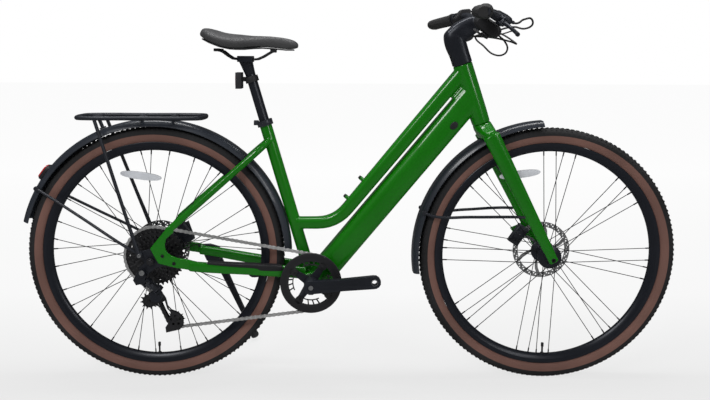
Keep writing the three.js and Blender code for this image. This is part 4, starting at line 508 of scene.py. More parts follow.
def taper(stations: Sequence[Station], power: float = 2.0, count: int = 40, steps: int = 1,
          across: Vector = LEFTWARD) -> Piece:
    """A tube whose section changes along its length.

    Args:
        stations: Its places with half width and half depth.
        power: The section's boxiness, 2 for an ellipse.
        count: Places in each ring.
        steps: Smooth steps between two stations.
        across: The direction that widths are measured in.
    """
    rows: Sequence[Sequence[float]] = [(*place, width, depth) for place, width, depth in stations]
    if steps > 1 and len(rows) > 2:
        rows = spline(rows, steps)
    rings = []
    for i, row in enumerate(rows):
        place, before, after = (Vector(rows[max(0, min(len(rows) - 1, j))][:3]) for j in (i, i - 1, i + 1))
        along = (after - before).normalized()
        side = (across - along * along.dot(across)).normalized()
        up = along.cross(side).normalized()
        turns = [squared((j + 0.5) / count * math.tau, 2 / power, 2 / power) for j in range(count)]
        rings.append([place + side * (row[3] * MM) * c + up * (row[4] * MM) * s for c, s in turns])
    return lofted(rings)


def body_of(node: str) -> str:
    """The body that a node rides on."""
    return frame["nodes"][node]["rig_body"]


def dress(piece: Piece, name: str, finish: Finish, body: str, smooth: float | None = None, node: str | None = None,
          slot: Slot | None = None) -> Piece:
    """Names a finished piece, gives it its finish and its body, and lets it stand for a node.

    Args:
        piece: The piece.
        name: Its name.
        finish: Its finish.
        body: The body that it rides on.
        smooth: The smoothing angle in degrees, where it isn't settled yet.
        node: The node that it replaces.
        slot: Its record slot, where that isn't its finish's own; not used.

    Returns:
        The same piece.
    """
    if smooth is not None:
        settle(piece, smooth)
    piece.name = piece.data.name = name
    if not piece.data.materials:
        piece.data.materials.append(finish.material())
    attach(piece, body)
    if node:
        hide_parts(node)
    LOG.info("%s rides on %s", name, body)
    return piece


def socket_bolt(name: str, place: Vector, out: Vector, radius: float, height: float, finish: Finish, body: str) -> None:
    """A round bolt head with a six-sided recess.

    Args:
        name: The piece's name.
        place: The face that it sits on.
        out: The way it points.
        radius: The head's radius.
        height: The head's height.
        finish: Its finish.
        body: The body it rides on.
    """
    head = rod(place, place + out * height * MM, radius, 28, bevel=min(height, radius) * 0.3)
    cut_by(head, rod(place + out * height * 0.35 * MM, place + out * height * 2 * MM, radius * 0.52, 6))
    dress(head, name, finish, body, 30)


@dataclass(frozen=True)
class FinedNode:
    """A node's own form with merged faces and softened edges, or melted into one soft-edged skin.

    Attributes:
        node: The node.
        finish: Its finish.
        edge: Edge rounding, or 0.
        smooth: Smoothing angle in degrees.
        voxel: Detail size of a melted skin, or 0 for none.
        rounds: Smoothing rounds of a melted skin.
    """

    node: str
    finish: Finish
    edge: float = 0.0
    smooth: float = 38.0
    voxel: float = 0.0
    rounds: int = 0

    def build(self) -> None:
        """Copies the node's mesh, rounds or melts it, and dresses it."""
        clear()
        name = self.node + ("_soft" if self.voxel else "_fine")
        piece = bpy.data.objects.new(name, frame["nodes"][self.node].data.copy())
        bpy.context.scene.collection.objects.link(piece)
        outward(piece)
        if self.voxel:
            piece.data.materials.clear()
            welded([piece], self.voxel, self.rounds)
            dress(piece, name, self.finish, body_of(self.node), node=self.node)
            return
        with editing(piece):
            bpy.ops.mesh.dissolve_limited(angle_limit=math.radians(1.0))
        if self.edge:
            apply(piece, "BEVEL", width=self.edge * MM, segments=2, limit_method="ANGLE",
                  angle_limit=math.radians(45), use_clamp_overlap=True)
        piece.data.materials.clear()
        dress(piece, name, self.finish, body_of(self.node), self.smooth, self.node)


# Frame and fork


SEAT_UP = Vector((-0.28234113, 0, 0.95931397))
STEER_DOWN = Vector((0.32556815, 0, -0.94551858))
STEER_AHEAD = Vector((0.94551858, 0, 0.32556815))
BRACKET_PLACE = at(BRACKET[0], 0, BRACKET[1])
STAY_TOP_UP = 398
STAY_END = at(46, 0, 432)
AXLE_HALF = 67.5
PLATE_INNER = 73.8
PLATE_OUTER = 80.8
FENDER_OUTER = 371.3
MOUNT_RADIUS = 80
HEAD_TOP = at(828.3, 0, 872)
SIDE_NAMES = {-1: "right", 1: "left"}


def seat_point(up: float) -> Vector:
    """A place on the seat tube's axis, up from the bottom bracket."""
    return BRACKET_PLACE + SEAT_UP * up * MM


def steer_point(down: float, ahead: float = 0.0) -> Vector:
    """A place on the steering axis, down from the head tube's top, and ahead of it."""
    return HEAD_TOP + STEER_DOWN * down * MM + STEER_AHEAD * ahead * MM


def steered(*rows: tuple[float, float, float, float]) -> list[Station]:
    """Stations near the steering axis, from (down, ahead, half width, half depth) rows."""
    return [(steer_point(down, ahead), width, depth) for down, ahead, width, depth in rows]


def section(centre: Vector, places: Sequence[Pair]) -> list[Vector]:
    """Turns (radius, y) places into points ahead of a centre."""
    return [centre + Vector((radius, y, 0)) * MM for radius, y in places]


@dataclass
class Frame:
    """The welded frame: tubes, stays, dropout plates and bridges in one skin, and its small fittings.

    Attributes:
        stay_places: The chain stays' x, y and share of their full depth.
        low_z: The height of the top tube's level end.
    """

    stay_places: tuple[Triple, ...] = (
        (104, 75.3, 0), (150, 71, 0.1), (260, 48, 0.5), (345, 33, 0.9), (408, 26, 1))
    low_z: float = 437.5

    def main_tubes(self) -> list[Piece]:
        """The head tube, the down tube, the dropped top tube, the web between them and the seat tube."""
        head = taper(steered((0, 0, 26, 26), (134, 0, 26, 25), (167, 0, 26, 24)), 2, 48)
        low = BRACKET_PLACE
        top = steer_point(87.8)
        along = (top - low).normalized()
        below = low + Vector((along.z, 0, -along.x)) * 14.4 * MM
        down = taper([(below - along * 11 * MM, 24, 18), (below + along * 22 * MM, 30, 34.8),
                      (below.lerp(top, 0.7), 30, 34.8), (top, 24, 34.8)], 3.2, 56)
        slope = math.radians(50.74)
        start = steer_point(15.6)
        back = Vector((-math.cos(slope), 0, -math.sin(slope)))
        corner = start + back * ((at(0, 0, self.low_z).z - start.z) / back.z)
        bend_in, bend_out = corner - back * 51 * MM, corner - Vector((51 * MM, 0, 0))
        end = seat_point((self.low_z - BRACKET[1]) / SEAT_UP.z)
        bend = [bend_in.lerp(corner, t).lerp(corner.lerp(bend_out, t), t) for t in (0, 0.17, 0.33, 0.5, 0.67, 0.83, 1)]
        places = [start, start.lerp(bend_in, 0.5), *bend, end]
        run = (start - end).length
        stations = []
        for place in places:
            share = (place - start).length / run
            stations.append((place, 21 + (16 - 21) * share, 19.1 + (16 - 19.1) * share ** 2))
        upper = taper(stations, 3.2, 48)
        web_start = steer_point(53.75)
        web = taper([(web_start, 17, 13), (web_start + back * 58 * MM, 17, 13)], 3.2, 24)
        return [head, down, upper, web, rod(low, seat_point(443), 16.5, 48)]

    def stay_z(self, x: float) -> float:
        """Height of the chain stays' middle line at x."""
        return 338 + (302 - 338) * (x - 104) / (BRACKET[0] - 104)

    def stays(self, side: int) -> list[Piece]:
        """One side's seat stay, chain stay and dropout plate."""
        spread = ((0, 0.1), (0.13, 0.46), (0.43, 0.65), (0.74, 0.86), (1, 1))
        top = seat_point(STAY_TOP_UP)
        upper = [(set_y(top.lerp(STAY_END, share), side * out * 77.3), 9.5 * (0.4 if share == 1 else 1), 9.5)
                 for share, out in spread]
        lower = [(at(x, side * y, self.stay_z(x)), 9, (27 + 6 * share) / 2) for x, y, share in self.stay_places]
        outline = [(0, 386), (21, 346), (72, 333), (126, 325), (126, 350), (96, 358)]
        arc = [(96, 358), (26, 362), (43, 412)]
        for t in (step / 8 for step in range(1, 9)):
            outline.append(tuple((1 - t) ** 2 * a + 2 * (1 - t) * t * b + t * t * c for a, b, c in zip(*arc)))
        plate = across_slab([*outline, (64, 431), (50, 447)], side * PLATE_INNER, side * 7, 1.2, 3)
        return [taper(upper, 2, 28, 4), taper(lower, 3, 32, 4), plate]

    def left_insert(self) -> list[Piece]:
        """The left axle plate with its brake tab and the spacer that joins it to the dropout plate."""
        plate = [(-37, 368), (-32, 378), (-20, 378), (2, 384), (14, 389), (26, 384), (56, 362), (60, 348), (52, 341),
                 (12, 332), (-8, 336), (-16, 346)]
        turn = math.radians(36)
        x, z = MOUNT_RADIUS * math.cos(turn), WHEEL_RADIUS + MOUNT_RADIUS * math.sin(turn)
        tab = [(20, 350), (52, 345), (x + 26, z - 26), (x + 8, z + 26), (x - 22, z + 10), (14, 389)]
        parts = [across_slab(shape, AXLE_HALF, 6, 0.8) for shape in (plate, tab)]
        return [*parts, across_rod((36, 358), 68.5, 74.8, 7)]

    def bridges(self) -> list[Piece]:
        """The two bridges between the stays, and the bottom bracket's shell."""
        top = seat_point(STAY_TOP_UP)
        reach = (FENDER_OUTER + 7.3) * MM
        low, high = 0.0, 0.5
        for _ in range(40):
            half = (low + high) / 2
            far = (top.lerp(STAY_END, half) - REAR_AXLE).length > reach
            low, high = (half, high) if far else (low, half)
        spot = top.lerp(STAY_END, low)
        upper = rod(set_y(spot, -35), set_y(spot, 35), 7, 24)
        shell = across_rod(BRACKET, -36.5, 36.5, 22, 56, 0.6)
        return [upper, across_rod((381, self.stay_z(381)), -33, 33, 7, 24), shell]

    def fittings(self) -> None:
        """Bosses, the cable port's plug and the hollow-headed bolts of the dropout plates."""
        out = Vector((-0.757, 0, 0.654))
        for number, (x, z) in enumerate(((517, 512), (557, 563))):
            head = at(x, 0, z)
            dress(rod(head - out * 22 * MM, head, 5.6, 28), f"frame_boss_{number}", PAINT, "frame", 40)
            socket_bolt(f"frame_boss_bolt_{number}", head, out, 5.0, 4.2, BLACK_STEEL, "frame")
        along, across = Vector((0.707, 0, 0.707)) * 12.0 * MM, Vector((-0.707, 0, 0.707)) * 8.8 * MM
        turns = [i / 28 * math.tau for i in range(28)]
        outline = [at(804, -25.0, 709) + along * math.cos(t) + across * math.sin(t) for t in turns]
        port = slab(outline, (0, -4.6, 0), 1.2, 3)
        dress(port, "frame_port_plug", MOULDED, "frame", 40)
        for number, (x, z) in enumerate(((33.0, 366.5), (63.0, 346.5))):
            for side, word in ((-1, ""), (1, "left_")):
                socket_bolt(f"dropout_bolt_{word}{number}", at(x, side * PLATE_OUTER, z), LEFTWARD * side, 4.6, 2.0,
                            BLACK_STEEL, "frame")

    def build(self) -> None:
        """Builds the frame's skin and its fittings."""
        parts = [*self.main_tubes(), *self.stays(-1), *self.stays(1), *self.bridges()]
        skin = welded(parts, 2.0, 4)
        cut_by(skin, rod(steer_point(-6), steer_point(173), 21.5, 48))
        cut_by(skin, rod(seat_point(158), seat_point(450), 14.0, 48))
        cut_by(skin, across_rod(BRACKET, -45, 45, 17.5, 48))
        dress(skin, "frame_skin", PAINT, "frame", 60, "frame")
        dress(joined(self.left_insert()), "dropout_insert_left", ANODISED, "frame", 35)
        self.fittings()


@dataclass
class Fork:
    """The painted fork in one skin: crown, steerer and two blades.

    Attributes:
        end_y: The blades' ends, out from the mid-plane.
    """

    end_y: float = 56.5

    def blade(self, side: int) -> Piece:
        """One blade, from the crown to the wheel's end."""
        top = steer_point(200, 6)
        stations = []
        for along, out in ((0, 0), (0.3, 0.3), (0.65, 0.7), (1.02, 1)):
            y = 47.5 + (self.end_y - 47.5) * out
            stations.append((set_y(top.lerp(FRONT_AXLE, along), side * y), (27 - 14 * out) / 2, (45 - 19 * along) / 2))
        return taper(stations, 2.6, 40, 6)

    def crown(self) -> Piece:
        """The crown, from its race to the blades."""
        return taper(steered((167.6, 0, 25, 23), (170.6, 0, 26, 23), (176.9, 1, 35, 24), (190.1, 4, 58, 22.5),
                             (204, 6, 61, 22.5)), 2.5, 48)

    def build(self) -> None:
        """Melts the parts, cuts the fender's tunnel and the axle's hole, and paints them."""
        turn = math.radians(147)
        lug_x, lug_z = WHEELBASE + MOUNT_RADIUS * math.cos(turn), WHEEL_RADIUS + MOUNT_RADIUS * math.sin(turn)
        lug = across_slab([(lug_x + dx, lug_z + dz) for dx, dz in ((-18, 14), (40, 40), (48, -6), (10, -20))],
                          self.end_y - 5, 10, 1.0)
        skin = welded([self.crown(), self.blade(-1), self.blade(1), lug], 1.9, 5)
        cut_by(skin, rod(set_y(FRONT_AXLE, -31), set_y(FRONT_AXLE, 31), FENDER_OUTER + 0.5, 160))
        cut_by(skin, rod(set_y(FRONT_AXLE, -100), set_y(FRONT_AXLE, 100), 6.3, 32))
        steerer = rod(steer_point(175), steer_point(-55), 14.3, 48)
        dress(joined([skin, steerer]), "fork_skin", PAINT, "steering", 60, "fork")


# Fenders, stays and rack


@dataclass
class Fender:
    """One moulded fender.

    Attributes:
        node: Its node.
        axle: The wheel's centre.
        start: Where it starts, in degrees round the axle from straight ahead.
        end: Where it ends.
        body: The body it rides on.
        drop: How far its edges come down.
    """

    node: str
    axle: Vector
    start: float
    end: float
    body: str
    drop: float

    def section(self) -> list[Vector]:
        """The wall's section at the fender's start: out over the back and home under it."""
        shares = [i / 12 for i in range(-12, 13)]
        walls = ((FENDER_OUTER, 28, shares), (FENDER_OUTER - 2, 26, reversed(shares)))
        return [polar(self.axle, outer - self.drop * abs(t) ** 4.2, math.radians(self.start), half * t)
                for outer, half, places in walls for t in places]

    def build(self) -> None:
        """Spins the section round the wheel and finishes it."""
        sweep = self.end - self.start
        piece = spun(self.section(), self.axle, int(sweep), math.radians(sweep))
        dress(piece, self.node + "_shell", FENDER_SKIN, self.body, 40, self.node)


@dataclass
class FenderStay:
    """The bent wires that hold a fender, from the eyelets to its two sides.

    Attributes:
        node: Its node.
        axle: The wheel's centre.
        eye: The eyelets' place in the mid-plane.
        eye_y: Their distance from it.
        turn: Where the wires meet the fender, in degrees round the axle.
        body: The body it rides on.
        ringed: Whether the wires end in flat rings.
    """

    node: str
    axle: Vector
    eye: Vector
    eye_y: float
    turn: float
    body: str
    ringed: bool

    def _radial(self, radius: float, y: float) -> Vector:
        """A place on the stay's own radius."""
        return polar(self.axle, radius, math.radians(self.turn), y)

    def build(self) -> None:
        """Bends the two wires and sets their eyes, and the clips that hold them to the fender's sides."""
        edge = FENDER_OUTER - 7
        parts = []
        for side in SIDES:
            eye, hold_place = set_y(self.eye, side * self.eye_y), self._radial(edge, side * 30.5)
            near = eye.lerp(hold_place, 0.12)
            bend = eye.lerp(self._radial(edge - 30, side * 36), 0.6)
            parts.append(tube([eye, set_y(near, side * self.eye_y), bend, self._radial(edge - 28, side * 33),
                               hold_place], 3.9, 14, 6))
            parts.append(rod(self._radial(edge, side * 26.5), self._radial(edge, side * 34.5), 6.2, 24, bevel=1.0))
            if self.ringed:
                start = set_y(self.eye, side * (self.eye_y - 3.8))
                parts.append(rod(start, set_y(self.eye, side * (self.eye_y + 3.8)), 7, 28, bevel=0.8))
        dress(joined(parts), self.node + "_wires", POWDER, self.body, 50, self.node)


@dataclass
class Rack:
    """The rear rack: a round-cornered loop, three cross tubes, two struts and two legs.

    Attributes:
        deck: Height of its tubes' middle.
        half: Half of the loop's width.
        rear_x: The loop's rear end.
        front_x: Its front end.
    """

    deck: float = 728
    half: float = 48
    rear_x: float = -200
    front_x: float = 136

    def loop(self) -> Piece:
        """The deck's loop."""
        corner = self.half * 0.55
        middle_x = (self.rear_x + self.front_x) / 2
        points = []
        for end, way in ((self.front_x, 1), (self.rear_x, -1)):
            bend = ((corner, self.half), (corner * 0.25, self.half - corner * 0.3), (0, self.half - corner))
            points.append(at(middle_x + way * 4, -way * self.half, self.deck))
            points += [at(end - way * back, -way * out, self.deck) for back, out in bend]
            points += [at(end - way * back, way * out, self.deck) for back, out in reversed(bend)]
        return tube(points, 6, 20, 8, closed=True)

    def build(self) -> None:
        """Builds all its tubes and eyes in one piece."""
        parts = [self.loop()]
        crossings = [(self.rear_x + self.front_x) / 2]
        for turn in (112, 82):
            out = Vector((math.cos(math.radians(turn)), 0, math.sin(math.radians(turn))))
            foot = REAR_AXLE + out * (FENDER_OUTER + 0.3) * MM
            top = REAR_AXLE + out * ((self.deck - WHEEL_RADIUS) / out.z) * MM
            parts.append(rod(foot, top, 4.8, 20))
            parts.append(rod(foot, foot + out * 4 * MM, 9, 24, bevel=0.8))
            crossings.append((top - REAR_AXLE).x / MM)
        for x in crossings:
            parts.append(across_rod((x, self.deck), -self.half, self.half, 4.8, 20))
        for side in SIDES:
            knee = at(-148, side * self.half, self.deck)
            eye = at(EYELET[0], side * 84.2, EYELET[1])
            near = eye.lerp(knee, 0.12)
            parts.append(tube([knee, set_y(near, side * 82.0), eye], 4.7, 16, 6))
            parts.append(across_rod(EYELET, side * 81.7, side * 86.7, 8, 28, 0.8))
        dress(joined(parts), "rack_tubes", POWDER, "frame", 50, "rack")


@dataclass
class Reflectors:
    """The red reflector on the rear fender, the one on the seat post, and the clear ones on the spokes.

    Attributes:
        fender_turn: Its place on the fender, in degrees round the axle.
        fender_height: Its height.
        fender_half: Half of its width.
        spoke_size: Half length and half width of the spokes' ones.
    """

    fender_turn: float = 143
    fender_height: float = 44
    fender_half: float = 20
    spoke_size: Pair = (56, 10.5)

    def on_fender(self) -> None:
        """The rear fender's reflector: a black block that follows the fender, and its red face."""
        turn = math.radians(self.fender_turn)
        out = Vector((math.cos(turn), 0, math.sin(turn)))
        up = Vector((-math.sin(turn), 0, math.cos(turn)))
        foot = REAR_AXLE + out * (FENDER_OUTER - 3) * MM
        half, high = self.fender_half, self.fender_height / 2
        dress(self._pad(foot, out, up, half, high, 9), "fender_reflector_block", MOULDED, "frame", 35)
        lens = self._pad(foot + out * 8.4 * MM, out, up, half - 2.5, high - 2.5, 4.5)
        dress(lens, "fender_reflector_lens", RED_GLASS, "frame", 35)

    def on_post(self) -> None:
        """The red face of the seat post's reflector."""
        low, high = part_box("post_reflector")
        back, up = Vector((-1, 0, 0)), Vector((0, 0, 1))
        half = (high[1] - low[1]) / 2 / MM - 2
        place = Vector((low[0] + 1.5 * MM, 0, (low[2] + high[2]) / 2))
        lens = self._pad(place, back, up, half, (high[2] - low[2]) / 2 / MM - 2.5, 2.2)
        dress(lens, "post_reflector_lens", RED_GLASS, body_of("post_reflector"), 35)

    @staticmethod
    def _pad(foot: Vector, out: Vector, up: Vector, half_width: float, half_height: float, depth: float) -> Piece:
        """A rounded oblong pad that stands on `foot`."""
        turns = [squared(i / 40 * math.tau, 0.5, 0.5) for i in range(40)]
        outline = [foot + (LEFTWARD * half_width * c + up * half_height * s) * MM for c, s in turns]
        return slab(outline, out * depth, 1.2, 3)

    def on_spokes(self) -> None:
        """One clear bar-shaped reflector between the spokes of each wheel."""
        long, high = self.spoke_size
        for prefix, x, z, tilt in (("rear", -38, 568, -0.13), ("front", 990, 575, 0.13)):
            middle_place = at(x, -12, z)
            ahead = Vector((1, 0, tilt)).normalized()
            up = Vector((-tilt, 0, 1)).normalized()
            turns = [squared(i / 36 * math.tau, 0.9, 0.8) for i in range(36)]
            outline = [middle_place + (ahead * long * c + up * high * s) * MM for c, s in turns]
            dress(slab(outline, (0, 5, 0), 1.0), prefix + "_spoke_reflector", CLEAR_GLASS, prefix + "_wheel", 35)

    def build(self) -> None:
        """Builds them all."""
        self.on_fender()
        self.on_post()
        self.on_spokes()


# Wheels


@dataclass(frozen=True)
class TyreSize:
    """The rings of a tyre and its rim, as (radius, half width) places.

    Attributes:
        sidewall: The coloured wall, up from the rim.
        tread: The black casing, up from the wall's edge.
        rim: The rim, from its inside to its well.
    """

    sidewall: tuple[Pair, ...] = (
        (310.2, 11.2), (312.5, 14.2), (316.0, 16.8), (320.0, 18.5), (325.0, 19.6), (330.4, 20.0))
    tread: tuple[Pair, ...] = (
        (329.8, 19.9), (334.0, 19.9), (338.8, 19.0), (342.6, 17.0), (345.9, 13.5), (348.2, 9.0), (349.3, 4.0))
    rim: tuple[Pair, ...] = (
        (286.2, 0.0), (286.2, 3.2), (287.6, 5.4), (292.5, 8.6), (298.0, 12.0), (299.6, 12.5), (308.8, 12.5),
        (309.8, 11.9), (309.8, 10.8), (308.6, 9.6), (304.5, 9.2), (302.5, 0.0))


@dataclass
class Wheel:
    """One wheel: tyre, tread blocks, rim, valve, spokes, hub shell and brake rotor.

    Attributes:
        prefix: Start of its nodes' names.
        axle: Its centre.
        spokes: How many spokes it has.
        cross: How many flange holes a spoke leads or trails by.
        flange: Flange radius.
        flange_ys: The two flanges' places across the bike.
        hub: The hub shell's section as (radius, y) places.
        rotor_y: The rotor's place across the bike.
        size: Its tyre's and rim's rings.
        blocks: How many tread blocks each row has round the wheel.
        steps: Steps of its turned rings.
        valve_foot: Radius at which the valve meets the rim.
        spoke_end: Radius at which the spokes do.
    """

    prefix: str
    axle: Vector
    spokes: int
    cross: float
    flange: float
    flange_ys: Pair
    hub: tuple[Pair, ...]
    rotor_y: float
    size: TyreSize = TyreSize()
    blocks: int = 156
    steps: int = 144
    valve_foot: float = 287.0
    spoke_end: float = 287.5

    @property
    def body(self) -> str:
        """The body that the wheel turns with."""
        return self.prefix + "_wheel"

    def _ring(self, name: str, finish: Finish, smooth: float, places: Sequence[Pair], node: str | None = None) -> None:
        """A ring from half of its section: out along one side and back along the other."""
        other = [(radius, -y) for radius, y in reversed(places) if y > 0]
        piece = spun(section(self.axle, [*places, *other]), self.axle, self.steps)
        dress(piece, self.prefix + name, finish, self.body, smooth, node and self.prefix + node)

    def tyre(self) -> None:
        """The coloured sidewalls, the black casing over them and its rows of blocks."""
        self._ring("_sidewalls", SIDEWALL, 50, self.size.sidewall, "_tyre")
        self._ring("_tread_casing", TREAD, 50, self.size.tread)
        self._blocks("centre", 349.0, (5.0, 7.0, 3.8), [(-4.4, 0.0, 0.0), (4.4, 0.5, 0.0)])
        self._blocks("shoulder", 345.2, (4.6, 5.0, 3.6), [(-13.2, 0.25, 34.0), (13.2, 0.75, -34.0)])
        self._blocks("edge", 339.4, (4.2, 4.4, 2.8), [(-17.8, 0.75, 62.0), (17.8, 0.25, -62.0)])

    def _blocks(self, row: str, radius: float, size: Triple, spots: Sequence[Triple]) -> None:
        """A row of tread blocks on each side.

        Args:
            row: The row's name.
            radius: Distance of their middles from the axle.
            size: Length round the wheel, width and depth.
            spots: For each side its y place, its share of a step ahead and its lean in degrees.
        """
        blocks = []
        for y, ahead, lean in spots:
            clear()
            bpy.ops.mesh.primitive_cube_add(size=1, location=(0, 0, 0))
            block = bpy.context.object
            block.scale = (size[2] * MM, size[1] * MM, size[0] * MM)
            bpy.ops.object.transform_apply(scale=True)
            apply(block, "BEVEL", width=0.6 * MM, segments=1)
            turn = ahead * math.tau / self.blocks
            block.rotation_euler = (0, 0, math.radians(-lean))
            bpy.ops.object.transform_apply(rotation=True)
            block.rotation_euler = (0, -turn, 0)
            block.location = polar(self.axle, radius, turn, y)
            bpy.ops.object.transform_apply(location=True, rotation=True)
            blocks.append(around(block, self.axle, self.blocks))
        dress(joined(blocks), f"{self.prefix}_{row}_blocks", TREAD, self.body, 30)

    def rim(self) -> None:
        """The rim, and the valve that stands on it."""
        self._ring("_rim_ring", RIM_SKIN, 28, self.size.rim, "_rim")
        foot, rise = self.axle - Vector((0, 0, self.valve_foot)) * MM, Vector((0, 0, 1)) * MM
        parts = [rod(foot, foot + rise * 22, 2.6, 16), rod(foot, foot + rise * 3, 5.2, 6, bevel=0.4),
                 rod(foot + rise * 20, foot + rise * 31, 3.8, 20, bevel=0.8)]
        dress(joined(parts), self.prefix + "_valve", MOULDED, self.body, 35, slot=Slot.SATIN)

    def lacing(self) -> None:
        """The spokes with their elbows' heads and their nipples, in groups of four round the hub."""
        per_flange = self.spokes // 2
        pitch = math.tau / per_flange
        parts = []
        for side in SIDES:
            for leads in SIDES:
                hole = (0 if leads > 0 else pitch) + (0 if side > 0 else pitch / 2)
                y = self.flange_ys[side > 0] + leads * 1.2
                start = polar(self.axle, self.flange, hole, y)
                end = polar(self.axle, self.spoke_end, hole + leads * self.cross * pitch, side)
                along, elbow = (end - start).normalized(), LEFTWARD * (1.6 * side * leads * MM)
                parts.append(rod(start, end, 1.05, 8))
                parts.append(rod(end - along * 13 * MM, end, 1.9, 8, bevel=0.3))
                parts.append(rod(start - elbow, start + elbow, 2.1, 10))
        group = around(joined(parts), self.axle, per_flange // 2)
        dress(group, self.prefix + "_spokes", SPOKE_SKIN, self.body, 40)

    def shell(self) -> None:
        """The hub's turned shell."""
        hub = rounded(spun(section(self.axle, self.hub), self.axle, 72), 0.8, 2, 40)
        dress(hub, self.prefix + "_hub_shell", ANODISED, self.body, 35, self.prefix + "_hub")

    def rotor(self) -> None:
        """The brake rotor: a holed band on six leaning arms, and its riveted carrier."""
        centre = self.axle + Vector((0, self.rotor_y, 0)) * MM
        half = 0.9
        band, carrier = (
            spun(section(centre, ((inner, -half), (outer, -half), (outer, half), (inner, half))), centre, steps)
            for inner, outer, steps in ((66, 80, 120), (13, 25, 48)))
        shape = ((22, -0.10), (40, 0.1), (58, 0.26), (67, 0.36), (67, 0.50), (52, 0.38), (34, 0.26), (22, 0.2))
        arms = [slab([polar(self.axle, radius, i * math.tau / 6 + lean, self.rotor_y - half) for radius, lean in shape],
                     (0, 2 * half, 0)) for i in range(6)]
        holes = []
        for radius, lean, hole in ((70, 0.0, 2.0), (73.2, 0.085, 2.3), (76.4, 0.17, 2.0)):
            place, reach = polar(self.axle, radius, lean, self.rotor_y), LEFTWARD * 3 * MM
            holes.append(rod(place - reach, place + reach, hole, 10))
        cut_by(band, around(joined(holes), centre, 24))
        dress(joined([band, carrier, *arms]), self.prefix + "_rotor_disc", STEEL, self.body, 30, self.prefix + "_rotor")

    def build(self) -> None:
        """Builds the whole wheel."""
        for step in (self.tyre, self.rim, self.lacing, self.shell, self.rotor):
            step()


FRONT_HUB = ((6.7, -49.2), (12, -49.2), (14, -42), (17, -36), (32, -32.5), (32, -25.5), (21, -22), (19, -14), (19, 14),
             (21, 22), (32, 25.5), (32, 32.5), (22, 38.6), (12, 38.8), (12, 49.2), (6.7, 49.2))
REAR_HUB = ((6.7, -26.6), (33, -26.6), (64, -19.5), (64, -13), (56.5, -12), (56.5, 18.5), (64, 20), (64, 26.5),
            (40, 38), (24, 44.6), (12, 44.8), (12, 66.8), (6.7, 66.8))


# Chain, sprockets and cranks


PITCH = 12.7
RING_TEETH = 38
PULLEY_TEETH = 11
COGS = (40, 34, 28, 24, 21, 18, 15, 13, 11)
COG_STEP = 4.35
COG_Y = -30.0
RING_Y = -48.0
GUIDE = (-18.0, 225.0)
TENSION = (54.441, 173.296)


def pitch_radius(teeth: int) -> float:
    """The radius on which a toothed wheel's rollers lie."""
    return PITCH / 2 / math.sin(math.pi / teeth)


@dataclass(frozen=True)
class PathWheel:
    """A toothed wheel that the chain runs round.

    Attributes:
        x: Its middle ahead of the rear axle.
        z: Its middle's height.
        teeth: Its teeth.
        way: 1 where it turns as the rear wheel does, or -1.
        y: Its place across the bike.
    """

    x: float
    z: float
    teeth: int
    way: int
    y: float

    @property
    def radius(self) -> float:
        """Its pitch radius."""
        return pitch_radius(self.teeth)


